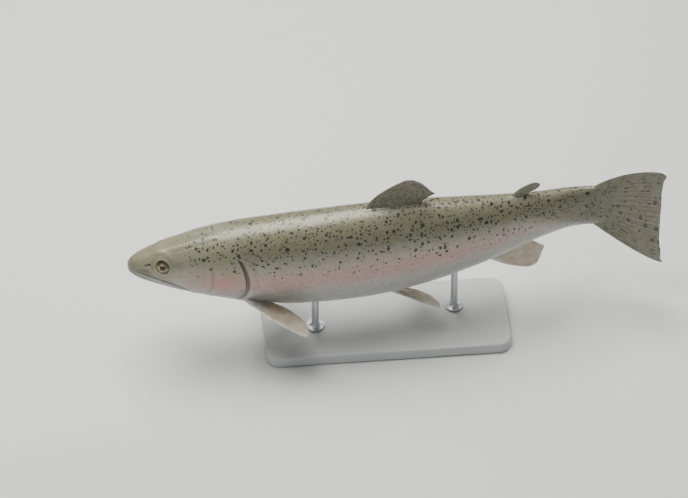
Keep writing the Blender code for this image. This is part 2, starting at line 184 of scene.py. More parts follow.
def select_where(piece, kind, wanted):
    """Selects in edit mode the edges or the faces whose corners have heights that wanted accepts."""
    bpy.ops.object.mode_set(mode="EDIT")
    bpy.ops.mesh.select_mode(type=kind)
    bpy.ops.mesh.select_all(action="DESELECT")
    bpy.ops.object.mode_set(mode="OBJECT")
    for item in piece.data.edges if kind == "EDGE" else piece.data.polygons:
        item.select = wanted([piece.data.vertices[corner].co.z for corner in item.vertices])
    bpy.ops.object.mode_set(mode="EDIT")


def block(name, middle, size, corner, eased):
    """A board with its upright corners rounded and its top edge eased."""
    deselected()
    bpy.ops.mesh.primitive_cube_add(size=1, location=middle, scale=size)
    piece = named(name)
    bpy.ops.object.transform_apply(location=True, rotation=True, scale=True)
    select_where(piece, "EDGE", lambda heights: max(heights) - min(heights) > size[2] / 2)
    bpy.ops.mesh.bevel(offset=corner, segments=14)
    select_where(piece, "EDGE", lambda heights: min(heights) > middle[2])
    bpy.ops.mesh.bevel(offset=eased, segments=5)
    bpy.ops.object.mode_set(mode="OBJECT")
    bpy.ops.object.shade_smooth_by_angle(angle=math.radians(35))
    return piece


base_middle, base_size = bounded("stand_base")
board_size = base_size - np.array([0, 0, FELT_HEIGHT])
plinth = block("stand_board", base_middle + np.array([0, 0, FELT_HEIGHT / 2]), board_size,
               CORNER_RADIUS, EASED_EDGE)
felt = block("stand_felt", (*base_middle[:2], FELT_HEIGHT / 2),
             (base_size[0] - 2 * FELT_INSET, base_size[1] - 2 * FELT_INSET, FELT_HEIGHT),
             CORNER_RADIUS - FELT_INSET, FELT_EDGE)

paint, tree, place = begun("painted_board", 0.42, Coat_Weight=0.15, Coat_Roughness=0.3)
along_board = put(tree, "Mapping", {"Vector": place, "Scale": (6.0, 95.0, 95.0)}).outputs[0]
brushing = noise(tree, along_board, 6.0, 6.0, 0.6)
fed(tree, Base_Color=mixed(tree, brushing[0], PAINT_DEEP, PAINT),
    Normal=bumped(tree, brushing[0], 0.25, 0.0004))
plinth.data.materials.append(paint)

cloth, tree, place = begun("felt", 0.95)
fibres = noise(tree, place, 1500.0, 4.0)
fed(tree, Base_Color=mixed(tree, fibres[0], FELT_DEEP, FELT_LIGHT))
felt.data.materials.append(cloth)
for piece in (plinth, felt):
    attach(piece, "root")
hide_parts("stand_base")


# The two rods: turned steel, each with a flanged foot screwed to the plinth by two small countersunk
# screws, and its top let into the fish's belly.
FOOT_HEIGHT = 0.002
FOOT_EDGE = 0.0003
COLLAR = [(0.0, 0.0056), (0.0011, 0.0047)]  # (rise, radius) of the ring where a rod leaves its foot
COLLAR_FADE = 0.0016
ROD_RADIUS = 0.004
ROD_END = 0.001
FOOT_SCREW_AT = 0.0072
SCREW_RADIUS = 0.0014
SCREW_HEIGHT = 0.0008
SCREW_DOME = 0.00025
SOCKET_RIM = 0.0005
ROD_STEEL = (0.62, 0.63, 0.64)
ROD_STEEL_DEEP = (0.50, 0.51, 0.52)


steel, tree, place = begun("turned_steel", 0.3, 1.0)
lathe = put(tree, "Mapping", {"Vector": place, "Scale": (40.0, 40.0, 2600.0)}).outputs[0]
marks = noise(tree, lathe, 1.0, 3.0)
fed(tree, Base_Color=mixed(tree, marks[0], ROD_STEEL_DEEP, ROD_STEEL),
    Roughness=stretched(tree, marks[0], 0.2, 0.8, 0.24, 0.40), Normal=bumped(tree, marks[0], 0.2, 0.0001))


def turned(name, vertices, radius, depth, at):
    """A plain upright cylinder with its top face selected in edit mode."""
    deselected()
    bpy.ops.mesh.primitive_cylinder_add(vertices=vertices, radius=radius, depth=depth, location=at)
    piece = named(name)
    bpy.ops.object.transform_apply(location=True, rotation=True, scale=True)
    select_where(piece, "FACE", lambda heights: min(heights) > at[2])
    return piece


def steel_piece(piece):
    """Leaves edit mode and gives a turned piece its finish and its place on the object."""
    bpy.ops.object.mode_set(mode="OBJECT")
    bpy.ops.object.shade_smooth_by_angle(angle=math.radians(30))
    piece.data.materials.append(steel)
    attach(piece, "root")


for name in ("stand_rod_front", "stand_rod_rear"):
    middle, size = bounded(name)
    axis, radius = middle[:2], size[0] / 2
    bottom = middle[2] - size[2] / 2
    rod = turned(name + "_turned", 64, radius, FOOT_HEIGHT, (*axis, bottom + FOOT_HEIGHT / 2))
    rise_left = size[2] - FOOT_HEIGHT - FOOT_EDGE - COLLAR[1][0] - COLLAR_FADE - ROD_END
    for rise, wanted in [(FOOT_EDGE, radius - FOOT_EDGE), *COLLAR, (COLLAR_FADE, ROD_RADIUS),
                         (rise_left, ROD_RADIUS), (ROD_END, ROD_RADIUS - ROD_END)]:
        bpy.ops.mesh.extrude_region_move(TRANSFORM_OT_translate={"value": (0, 0, rise)})
        bpy.ops.transform.resize(value=(wanted / radius, wanted / radius, 1), center_override=(*axis, 0))
        radius = wanted
    steel_piece(rod)
    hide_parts(name)
    for side, word in ((-1, "a"), (1, "b")):
        head = (axis[0] + side * FOOT_SCREW_AT, axis[1], bottom + FOOT_HEIGHT + FOOT_EDGE)
        screw = turned(name + "_screw_" + word, 32, SCREW_RADIUS, SCREW_HEIGHT, head)
        bpy.ops.mesh.inset(thickness=SCREW_DOME)
        bpy.ops.transform.translate(value=(0, 0, SCREW_DOME))
        bpy.ops.mesh.inset(thickness=SOCKET_RIM)
        bpy.ops.mesh.extrude_region_move(TRANSFORM_OT_translate={"value": (0, 0, -SOCKET_RIM)})
        steel_piece(screw)


# The skin: one closed sheet over head, trunk and tail stalk, down into the root of the tail fin.
# It has the shape of the whole fish, drawn in by the depth of the scales, with the mouth, the gill
# openings, the plates of the head and the fleshy fin roots sculpted in it.
LENGTH = 0.600
AXIS_HEIGHT = 0.124
COAT_DEPTH = 0.0004
# Outlines: (share of the length from the snout, share of the length).
BACK = [(0, 0.001), (0.004, 0.0115), (0.02, 0.0240), (0.05, 0.0385), (0.09, 0.0550), (0.15, 0.0750),
        (0.22, 0.0895), (0.32, 0.101), (0.43, 0.1045), (0.53, 0.098), (0.63, 0.083), (0.72, 0.065),
        (0.80, 0.0520), (0.85, 0.0485), (0.88, 0.0505), (0.91, 0.0535)]
BELLY = [(0, -0.001), (0.004, -0.0120), (0.02, -0.0245), (0.05, -0.0375), (0.09, -0.0510),
         (0.15, -0.0695), (0.22, -0.0850), (0.32, -0.098), (0.43, -0.1010), (0.53, -0.0930),
         (0.63, -0.0750), (0.70, -0.0600), (0.76, -0.0485), (0.82, -0.0440), (0.88, -0.0455),
         (0.91, -0.0490)]
HALF_WIDTH = [(0, 0.001), (0.004, 0.0120), (0.02, 0.0230), (0.05, 0.0330), (0.09, 0.0430),
              (0.15, 0.0540), (0.22, 0.0595), (0.33, 0.0610), (0.43, 0.0590), (0.53, 0.0535),
              (0.63, 0.0440), (0.72, 0.0330), (0.80, 0.0230), (0.85, 0.0170), (0.88, 0.0140)]
WIDEST_LEVEL = [(0, 0), (0.10, -0.010), (0.20, -0.008), (0.40, 0.0), (0.88, 0.002)]
UPPER_ROUNDNESS = [(0, 2.0), (0.06, 2.35), (0.15, 2.25), (0.30, 2.05), (0.88, 2.0)]
LOWER_ROUNDNESS = [(0, 2.0), (0.06, 1.85), (0.15, 1.9), (0.35, 2.2), (0.60, 2.1), (0.88, 2.0)]
LATERAL_LINE = [(0.18, 0.030), (0.24, 0.022), (0.34, 0.013), (0.50, 0.007), (0.88, 0.002)]
BLADE_START = 0.850  # where the tail stalk starts to thin into the tail fin
BLADE_LEFT = 0.03  # share of its thickness that it keeps at the end
SKIN_END = 0.906
THINNEST = 0.0002
# Heading of the spine in degrees at shares of the length: the swimming bend.
HEADING = [(0, -2.0), (0.20, -2.5), (0.33, 2.0), (0.46, 6.0), (0.60, 10.0), (0.70, 14.0), (0.79, 15.0),
           (0.845, 3.0), (0.885, -14.0), (0.93, -21.0), (1.0, -24.0)]
SPINE_START = 0.470  # place on the spine that stands over the row's origin
# Places on the head, in shares of the length.
EYE_AT = (0.064, 0.0190)
NOSTRILS = [((0.0338, 0.0166), 0.0009), ((0.0392, 0.0186), 0.0013)]  # (place, width in metres)
GILL_REAR, GILL_LEVEL, GILL_CREST = 0.212, -0.006, 0.050
GILL_BOWS = (4.9, 7.0)  # how fast the gill cover's edge curves forward above its level, and below
THROAT_SWEEP = 0.036  # how far the gill openings run forward under the throat
MOUTH_START, MOUTH_CORNER = 0.0012, 0.104
MOUTH_LEVEL, MOUTH_SLOPE = -0.0045, -0.27
VENT_AT = 0.645
EYE_RADIUS = 0.0073  # in metres
HALF_PI = math.pi / 2


def curve(points, at):
    """Smooth curve through (share, value) points with no overshoot, rounded where the share nears 0."""
    x = np.sqrt([p[0] for p in points])
    y = np.array([p[1] for p in points], float)
    step = np.diff(x)
    rise = np.diff(y) / step
    slope = np.concatenate([[rise[0]], np.zeros(len(x) - 2), [rise[-1]]])
    for i in range(1, len(x) - 1):
        if rise[i - 1] * rise[i] > 0:
            near, far = 2 * step[i] + step[i - 1], step[i] + 2 * step[i - 1]
            slope[i] = (near + far) / (near / rise[i - 1] + far / rise[i])
    u = np.clip(np.sqrt(np.maximum(at, 0)), x[0], x[-1])
    i = np.clip(np.searchsorted(x, u) - 1, 0, len(step) - 1)
    k = (u - x[i]) / step[i]
    return (y[i] * (1 + 2 * k) * (1 - k) ** 2 + y[i + 1] * k * k * (3 - 2 * k)
            + step[i] * (slope[i] * k * (1 - k) ** 2 - slope[i + 1] * k * k * (1 - k)))


def ramp(value, start, end):
    """0 before start, 1 past end, smooth in between."""
    k = np.clip((value - start) / (end - start), 0, 1)
    return k * k * (3 - 2 * k)


def band(value, start, full, fade, end):
    """0 before start and past end, 1 from full to fade, smooth in between."""
    return ramp(value, start, full) * ramp(value, end, fade)


def hill(distance, reach):
    return np.exp(-(distance / reach) ** 2)


def swell(x, z, at, reach):
    """1 at a place on the fish's side, dying away over its reach along and up."""
    return hill(np.hypot((x - at[0]) / reach[0], (z - at[1]) / reach[1]), 1.0)


def apart(x, z, at):
    """Distance in metres from a place on the fish's side."""
    return np.hypot(x - at[0], z - at[1]) * LENGTH


def section(share):
    """Half width, top, bottom, widest level and roundness of the skin's section, in metres."""
    level = curve(WIDEST_LEVEL, share) * LENGTH
    blade = ramp(share, BLADE_START, SKIN_END)
    half = curve(HALF_WIDTH, share) * LENGTH * (1 - (1 - BLADE_LEFT) * blade)
    half = np.maximum(half - COAT_DEPTH * (1 - blade), THINNEST)
    top = np.maximum(curve(BACK, share) * LENGTH - COAT_DEPTH, level + THINNEST)
    bottom = np.minimum(curve(BELLY, share) * LENGTH + COAT_DEPTH, level - THINNEST)
    return half, top, bottom, level, curve(UPPER_ROUNDNESS, share), curve(LOWER_ROUNDNESS, share)


def body_at(share, angle):
    """Points of the plain straight body. Angle 0 is the right flank, and a quarter turn the back."""
    half, top, bottom, level, upper, lower = section(share)
    c, s = np.cos(angle), np.sin(angle)
    roundness = np.where(s >= 0, upper, lower)
    across = np.sign(c) * np.abs(c) ** (2 / roundness)
    height = np.where(s >= 0, top - level, bottom - level)
    z = level + height * np.abs(s) ** (2 / roundness)
    return np.stack([share * LENGTH + 0 * z, half * across, z], axis=-1)


def normal_at(shape, share, angle):
    """Outward normals of a surface shape(share, angle)."""
    near = np.maximum(share - 0.0002, 1e-6)
    along = shape(share + 0.0002, angle) - shape(near, angle)
    around = shape(share, angle + 0.002) - shape(share, angle - 0.002)
    normal = np.cross(around, along)
    return normal / np.maximum(np.linalg.norm(normal, axis=-1, keepdims=True), 1e-12)


def gill_edge(z):
    """Free rear edge of the gill cover at a height."""
    return GILL_REAR - np.where(z > GILL_LEVEL, *GILL_BOWS) * (z - GILL_LEVEL) ** 2


def gill_share(angle):
    """Where the free edge of the gill cover crosses a line of the skin along the fish."""
    fold = np.arcsin(np.sin(angle))
    throat = THROAT_SWEEP * ramp(fold + HALF_PI, 0.80, 0.0)
    share = np.full_like(angle, GILL_REAR)
    for _ in range(6):
        share = (share + gill_edge(body_at(share, angle)[..., 2] / LENGTH) - throat) / 2
    return share


def mouth_line(share):
    return MOUTH_LEVEL + MOUTH_SLOPE * share


def mouth_angle(share):
    """Angle at which the mouth line lies on the right side of a section."""
    half, top, bottom, level, upper, lower = section(share)
    ratio = np.clip((level - mouth_line(share) * LENGTH) / (level - bottom), 0, 1)
    return -np.arcsin(ratio ** (lower / 2))


def beside(x, z, start, end):
    """Distance from a straight seam on the head's side, and how far below the seam, in metres."""
    ax, az = start
    dx, dz = end[0] - ax, end[1] - az
    along = np.clip(((x - ax) * dx + (z - az) * dz) / (dx * dx + dz * dz), 0, 1)
    gap = np.hypot(x - ax - along * dx, z - az - along * dz) * LENGTH
    below = ((z - az) * dx - (x - ax) * dz) / math.hypot(dx, dz) * -LENGTH
    return gap, below


def lip_crest(x):
    """Height of the upper lip bone's top edge over the mouth line, in metres."""
    return 0.0032 + 0.0034 * np.sin(np.pi * np.clip((x - 0.006) / 0.100, 0, 1)) ** 0.8


def from_eye(degrees, along, up):
    """A place on the head's side, seen from the eye's centre."""
    turn = math.radians(degrees)
    return EYE_AT[0] + along * math.cos(turn), EYE_AT[1] + up * math.sin(turn)


def eye_relief(x, z):
    """The socket, the rim of skin that holds the eye, and the ring of bones with its pores."""
    eye = apart(x, z, EYE_AT)
    out = -0.0032 * ramp(eye, 0.00735, 0.0062) + 0.00055 * hill(eye - 0.0084, 0.0009)
    out += -0.00035 * hill(eye - 0.0108, 0.0011) + 0.00025 * hill(eye - 0.0142, 0.0018)
    for turn in range(-150, 19, 42):
        gap, _ = beside(x, z, from_eye(turn, 0.0225, 0.0225), from_eye(turn, 0.0400, 0.0340))
        out -= 0.00022 * hill(gap, 0.0007)
    for turn in range(-158, 43, 25):
        out -= 0.0005 * hill(apart(x, z, from_eye(turn, 0.0230, 0.0230)), 0.0005)
    return out


def mouth_relief(x, z, high):
    """The two nostrils, the upper lip bone, the slit of the mouth and the soft folds at its corner."""
    out = 0 * x
    for at, width in NOSTRILS:
        hole = apart(x, z, at)
        out += -0.0026 * hill(hole, width) + 0.0004 * hill(hole - 2.0 * width, 0.0006)
    crest = lip_crest(x)
    lip_end = x + 9.0 * (high / LENGTH - 0.005) ** 2 / 0.02
    lip = ramp(x, 0.006, 0.020) * ramp(lip_end, 0.1095, 0.1070)
    out += 0.0009 * lip * ramp(high, crest + 0.0005, crest - 0.0003) * ramp(high, -0.0014, -0.0002)
    out += 0.0003 * lip * hill(high - 0.0009, 0.0008)
    out -= 0.0020 * hill(high, 0.00045) * ramp(x, 0.0045, 0.0028)
    seam = 0.0009 * hill(high - crest - 0.0007, 0.0006) + 0.0004 * hill(high - crest - 0.0045, 0.0018)
    out -= seam * band(x, 0.010, 0.030, 0.106, 0.112)
    gap, _ = beside(x, z, (0.060, mouth_line(0.060) + 0.0088), (0.102, mouth_line(0.102) + 0.0050))
    out -= 0.0005 * hill(gap, 0.0005)
    for k in range(3):
        foot = (0.1115 + 0.0028 * k, -0.0400 - 0.0010 * k)
        gap, _ = beside(x, z, (foot[0] - 0.001, foot[1] + 0.0100 - 0.002 * k), foot)
        out -= (0.0006 - 0.00015 * k) * hill(gap, 0.0007)
    return out


def jaw_relief(x, high, fold, half):
    """The lower lip, the groove under the jaw bone, and the pores along the jaw."""
    out = 0.0006 * hill(high + 0.0019, 0.0013) * ramp(x, 0.103, 0.085)
    out -= 0.0004 * hill(high + 0.0046, 0.0010) * band(x, 0.006, 0.020, 0.080, 0.100)
    under = (fold + 1.05) * half
    out -= 0.0009 * hill(under, 0.0010) * band(x, 0.010, 0.024, 0.112, 0.128)
    out += 0.0004 * hill(under - 0.0030, 0.0018) * band(x, 0.010, 0.024, 0.100, 0.120)
    for k in range(6):
        out -= 0.0006 * hill(np.hypot((x - 0.018 - 0.015 * k) * LENGTH, (fold + 0.84) * half), 0.0006)
    return out


def crown_relief(x, fold, half):
    """Two low ridges on the skull with a furrow between them, and a row of pores over each eye."""
    crown = (HALF_PI - fold) * half
    out = band(x, 0.035, 0.060, 0.150, 0.178) \
        * (0.0004 * hill(crown - 0.0062, 0.0034) - 0.0003 * hill(crown, 0.0030))
    out -= 0.0002 * hill(crown - 0.0118, 0.0016) * band(x, 0.075, 0.090, 0.150, 0.168)
    for k in range(8):
        pore = np.hypot((x - 0.040 - 0.0135 * k) * LENGTH, crown - 0.0098 - 0.0005 * k)
        out -= 0.0006 * hill(pore, 0.0006)
    return out


# Swells and hollows of the head's side: place, reach along and up, metres outwards.
HEAD_SWELLS = [((0.110, -0.0100), (0.017, 0.0160), 0.0009),  # cheek
               ((0.060, 0.0385), (0.018, 0.0045), 0.0009),  # brow
               ((0.030, 0.0055), (0.016, 0.0060), -0.0009),  # hollow before the eye
               ((0.092, 0.0250), (0.010, 0.0060), -0.0006),  # hollow behind it
               ((0.182, 0.0040), (0.021, 0.0280), 0.0014)]  # gill cover


def plate_relief(x, z):
    """The cheek plate with its curved rear edge, and the plates of the gill cover with their rays."""
    bow = (np.maximum(x - 0.100, 0) / 0.053) ** 2.6 + (np.maximum(0.012 - z, 0) / 0.058) ** 2.6
    behind = (bow ** (1 / 2.6) - 1) * 0.056 * LENGTH
    cheek = 0.0008 * ramp(behind, -0.0085, -0.0050) * ramp(behind, 0.0005, -0.0005)
    cheek -= 0.0009 * hill(behind - 0.0009, 0.0009) + 0.0004 * hill(behind + 0.0088, 0.0010)
    out = cheek * ramp(z, 0.042, 0.014) * ramp(x, 0.096, 0.118)
    gap, below = beside(x, z, (0.157, -0.036), (0.2075, -0.0175))
    out -= 0.0007 * hill(gap, 0.0007) + 0.0005 * ramp(x, 0.150, 0.160) * ramp(below, 0.0, 0.0010)
    gap, _ = beside(x, z, (0.122, -0.0505), (0.160, -0.0440))
    out -= 0.0007 * hill(gap, 0.0007)
    spoke = np.arctan2(z - 0.036, x - 0.152)
    fan = band(np.hypot(x - 0.152, z - 0.036), 0.012, 0.025, 0.045, 0.062)
    return out + 0.00010 * fan * ramp(x, 0.154, 0.162) * ramp(z, 0.044, 0.030) * np.sin(46 * spoke)


def throat_relief(x, z, fold):
    """Thin rays that stiffen the fold of skin under the gill cover, each lapping over the next."""
    margin = (-0.0540 + 0.05 * (x - 0.115) - z) * LENGTH
    rays = ramp(margin, 0.0, 0.0016) * ramp(x, 0.106, 0.122)
    slat = (fold + HALF_PI) / (0.30 + 0.70 * ramp(x, 0.095, 0.185)) / 0.135 % 1.0
    return rays * (0.00075 * ramp(slat, 0.0, 0.72) * ramp(slat, 1.0, 0.80)
                   - 0.00015 * hill(np.minimum(slat, 1 - slat), 0.10))


def head_relief(x, z, fold, half):
    """How far the head's plates, folds and openings stand out, by place on its side."""
    high = (z - mouth_line(x)) * LENGTH
    out = eye_relief(x, z) + mouth_relief(x, z, high) + jaw_relief(x, high, fold, half)
    out += crown_relief(x, fold, half) + plate_relief(x, z) + throat_relief(x, z, fold)
    return out + sum(height * swell(x, z, at, reach) for at, reach, height in HEAD_SWELLS)


def relief(share, angle):
    """How far the skin stands out of the plain body: head, gill opening, side line and fin roots."""
    fold = np.arcsin(np.sin(angle))
    half = section(share)[0]
    z = body_at(share, angle)[..., 2] / LENGTH
    past = (share - gill_share(fold)) * LENGTH
    out = head_relief(share, z, fold, half) * ramp(past, 0.0012, 0.0)
    opening = ramp(z, GILL_CREST + 0.006, GILL_CREST - 0.008) * ramp(past, 0.0, 0.001)
    out += opening * (0.0004 * hill(past - 0.010, 0.0035) - 0.0007 * hill(past - 0.0025, 0.0025))
    side_line = (z - curve(LATERAL_LINE, share)) * LENGTH
    out -= 0.00028 * hill(side_line, 0.0017) * ramp(past, 0.004, 0.012)
    from_back, from_belly = (HALF_PI - fold) * half, (fold + HALF_PI) * half
    out += 0.0018 * hill(from_back, 0.0038) * band(share, 0.418, 0.438, 0.536, 0.556)  # dorsal fin
    out += 0.0012 * hill(from_back, 0.0032) * band(share, 0.696, 0.710, 0.730, 0.748)  # adipose fin
    out += 0.0018 * hill(from_belly, 0.0038) * band(share, 0.640, 0.660, 0.745, 0.768)  # anal fin
    for at, height in (((0.229, -0.058), 0.0018), ((0.491, -0.0890), 0.0014)):  # paired fins
        root = np.hypot((share - at[0]) * LENGTH, (z - at[1]) * LENGTH * 1.3)
        out += height * hill(root, 0.0085)
    vent = np.hypot((share - VENT_AT) * LENGTH, from_belly)
    out += 0.0010 * hill(vent - 0.0032, 0.0016) - 0.0012 * hill(vent, 0.0016)
    return out


def skin_at(share, angle):
    """Points of the sculpted skin of the straight fish."""
    out = relief(share, angle)[..., None]
    return body_at(share, angle) + normal_at(body_at, share, angle) * out


def bent(points):
    """The straight fish's points, carried by its bent spine to their place over the stand."""
    shares = np.linspace(0, 1.02, 400)
    heading = np.radians(curve(HEADING, shares))
    step = np.diff(shares, prepend=shares[0]) * LENGTH
    x, y = np.cumsum(step * np.cos(heading)), np.cumsum(step * np.sin(heading))
    x -= np.interp(SPINE_START, shares, x)
    y -= np.interp(SPINE_START, shares, y)
    share = points[..., 0] / LENGTH
    turn = np.interp(share, shares, heading)
    ahead = np.minimum(share, 0) * LENGTH
    return np.stack([
        np.interp(share, shares, x) + ahead * np.cos(turn) - points[..., 1] * np.sin(turn),
        np.interp(share, shares, y) + ahead * np.sin(turn) + points[..., 1] * np.cos(turn),
        points[..., 2] + AXIS_HEIGHT], axis=-1)


def grid_piece(name, rows, columns):
    """A flat grid, with the row and column number of each of its vertices, and its map for baking."""
    deselected()
    bpy.ops.mesh.primitive_grid_add(x_subdivisions=rows, y_subdivisions=columns, size=2)
    piece = named(name)
    piece.data.uv_layers[0].name = "OFBake"
    flat = np.empty(len(piece.data.vertices) * 3)
    piece.data.vertices.foreach_get("co", flat)
    flat = (flat.reshape(-1, 3) + 1) / 2
    return piece, np.rint(flat[:, 0] * rows).astype(int), np.rint(flat[:, 1] * columns).astype(int)


def marked(piece, name, values):
    """Stores four numbers, or one, at each vertex for the finish to read."""
    wide = np.ndim(values) > 1
    layer = piece.data.attributes.new(name, "FLOAT_COLOR" if wide else "FLOAT", "POINT")
    layer.data.foreach_set("color" if wide else "value", np.ravel(values))


def closed(piece, points, merge=2e-6):
    """Moves the vertices into place, merges the ones that meet and turns the faces outwards."""
    piece.data.vertices.foreach_set("co", points.ravel())
    bpy.ops.object.mode_set(mode="EDIT")
    bpy.ops.mesh.select_all(action="SELECT")
    bpy.ops.mesh.remove_doubles(threshold=merge)
    bpy.ops.mesh.normals_make_consistent(inside=False)
    bpy.ops.object.mode_set(mode="OBJECT")
    bpy.ops.object.shade_smooth()


def height_at(share, z):
    """Height on the side: 1 at the back, 0 where the fish is widest and -1 at the belly."""
    level, top, bottom = (curve(line, share) for line in (WIDEST_LEVEL, BACK, BELLY))
    return np.where(z > level, (z - level) / (top - level), (z - level) / (level - bottom))


def zones_at(share, z):
    """Strength of the back's olive, the rose stripe, the pale belly, and how thick the spots are."""
    height = height_at(share, z)
    on_head = ramp(share, 0.215, 0.150)
    to_tail = ramp(share, 0.70, 0.885)
    back = ramp(height, 0.14 + 0.06 * on_head - 1.5 * to_tail, 0.70 - 1.05 * to_tail)
    snout = ramp(share, 0.060, 0.0) * ramp(height, -0.35, 0.2)
    back = np.maximum(back, 0.8 * snout)
    rose = hill(height, 0.26) * band(share, 0.09, 0.16, 0.55, 0.92)
    cover = swell(share, z, (0.176, -0.008), (0.036, 0.026))
    cheek = swell(share, z, (0.112, -0.012), (0.020, 0.013))
    rose = np.maximum(np.maximum(0.66 * rose, cover), 0.45 * cheek)
    belly = ramp(height, -0.40, -0.85) * (1 - 0.9 * to_tail)
    jaw = ramp(mouth_line(share) - z, 0.002, 0.010) * ramp(share, 0.14, 0.09)
    belly = np.maximum(belly, 0.70 * jaw)
    spots = ramp(height, -0.42, 0.25) * ramp(share, 0.045, 0.13)
    spots *= 1 - 0.40 * hill(height, 0.30) * ramp(share, 0.5, 0.3)
    spots = np.maximum(spots, 0.95 * ramp(share, 0.66, 0.82) * ramp(height, -1.0, -0.45))
    spots *= (1 - 0.60 * cover) * (1 - 0.20 * on_head * ramp(height, 0.75, 0.5))
    return np.stack([back, rose, belly, spots], axis=-1)


def tints_at(share, z):
    """Strength of the bronze over the flank, the grey of lips and tail root, and the lip's pale edge."""
    bronze = hill(height_at(share, z) - 0.30, 0.26) * (0.45 + 0.55 * ramp(share, 0.25, 0.15))
    plate = swell(share, z, (0.168, 0.020), (0.034, 0.020))
    bronze += 0.6 * plate + 0.5 * hill(apart(share, z, EYE_AT) - 0.0125, 0.0060)
    high = (z - mouth_line(share)) * LENGTH
    lips = hill(high - 0.0004, 0.0026) * ramp(share, 0.118, 0.105)
    seam = hill(high - lip_crest(share) - 0.0007, 0.0009) * ramp(share, 0.115, 0.108)
    lips = np.maximum(0.75 * lips, 0.8 * seam)
    tip = ramp(share, 0.022, 0.004)
    tail_root = 0.55 * ramp(share, 0.76, 0.885)
    dusk = np.maximum(np.maximum(lips, 0.6 * tip), tail_root)
    pale_edge = hill(high + 0.0030, 0.0016) * ramp(share, 0.105, 0.09)
    return np.stack([np.clip(bronze, 0, 1), dusk, pale_edge, 0 * bronze + 1], axis=-1)


def worked(tree, kind, first, second=0.0):
    """A number worked out from two others."""
    return put(tree, "Math", {0: first, 1: second}, operation=kind).outputs[0]


def times(tree, first, second):
    return put(tree, "Math", {0: first, 1: second}, operation="MULTIPLY").outputs[0]


def pushed(tree, place, colour, much, centre=(0.0, 0.0, 0.0)):
    """A place pushed about by a noise's colour, measured from a centre."""
    push = put(tree, "VectorMath", {0: colour, 1: centre}, operation="SUBTRACT").outputs[0]
    push = put(tree, "VectorMath", {0: push, "Scale": much}, operation="SCALE").outputs[0]
    return put(tree, "VectorMath", {0: place, 1: push}, operation="ADD").outputs[0]


def stored(tree, name):
    """The four numbers stored under a name at each point."""
    attribute = put(tree, "Attribute", attribute_name=name)
    return [*put(tree, "SeparateColor", {0: attribute.outputs["Color"]}).outputs,
            attribute.outputs["Alpha"]]


def greyed(tree, value):
    return put(tree, "CombineColor", {0: value, 1: value, 2: value}).outputs[0]


def dots(tree, place, scale, least, most, strength, edge, shown=1.0, shape="LINEAR", loose=1.0, **kind):
    """Scattered dots, one to a cell, each as large as its own chance and the strength there allow."""
    cells = put(tree, "TexVoronoi", {"Vector": place, "Scale": scale, "Randomness": loose}, **kind)
    chance = put(tree, "SeparateColor", {0: cells.outputs["Color"]}).outputs[0]
    size = times(tree, stretched(tree, chance, least, 1.0, 0.0, most), strength)
    inside = worked(tree, "SUBTRACT", size, cells.outputs["Distance"])
    return stretched(tree, inside, *edge, 0.0, shown, shape)


# Colours of the trout, each as a deep and a light shade for its mottling.
SILVER = (0.31, 0.315, 0.30), (0.46, 0.46, 0.43)
OLIVE = (0.125, 0.125, 0.072), (0.245, 0.232, 0.145)
ROSE = (0.40, 0.145, 0.125), (0.54, 0.26, 0.225)
CREAM = (0.56, 0.55, 0.50), (0.68, 0.665, 0.61)
BRASS = (0.25, 0.205, 0.095), (0.36, 0.31, 0.17)
DUSK = (0.085, 0.085, 0.070), (0.15, 0.148, 0.125)
LIP_EDGE = (0.62, 0.60, 0.54)
# Painted shade: a dark colour laid into the skin's grooves, pits and slits, fuller the deeper they lie.
PAINTED_GROOVE_SHADE = (0.075, 0.058, 0.046)
GROOVE_SHADE_DEPTH = 0.0011  # depth at which a groove has its full shade
DUST = (0.050, 0.050, 0.034)
SPOT = (0.012, 0.012, 0.011)
# Spots in three sizes: (cells to a metre, least chance, largest size).
SPOTS = [(155.0, 0.06, 0.37), (240.0, 0.04, 0.40), (340.0, 0.08, 0.42)]


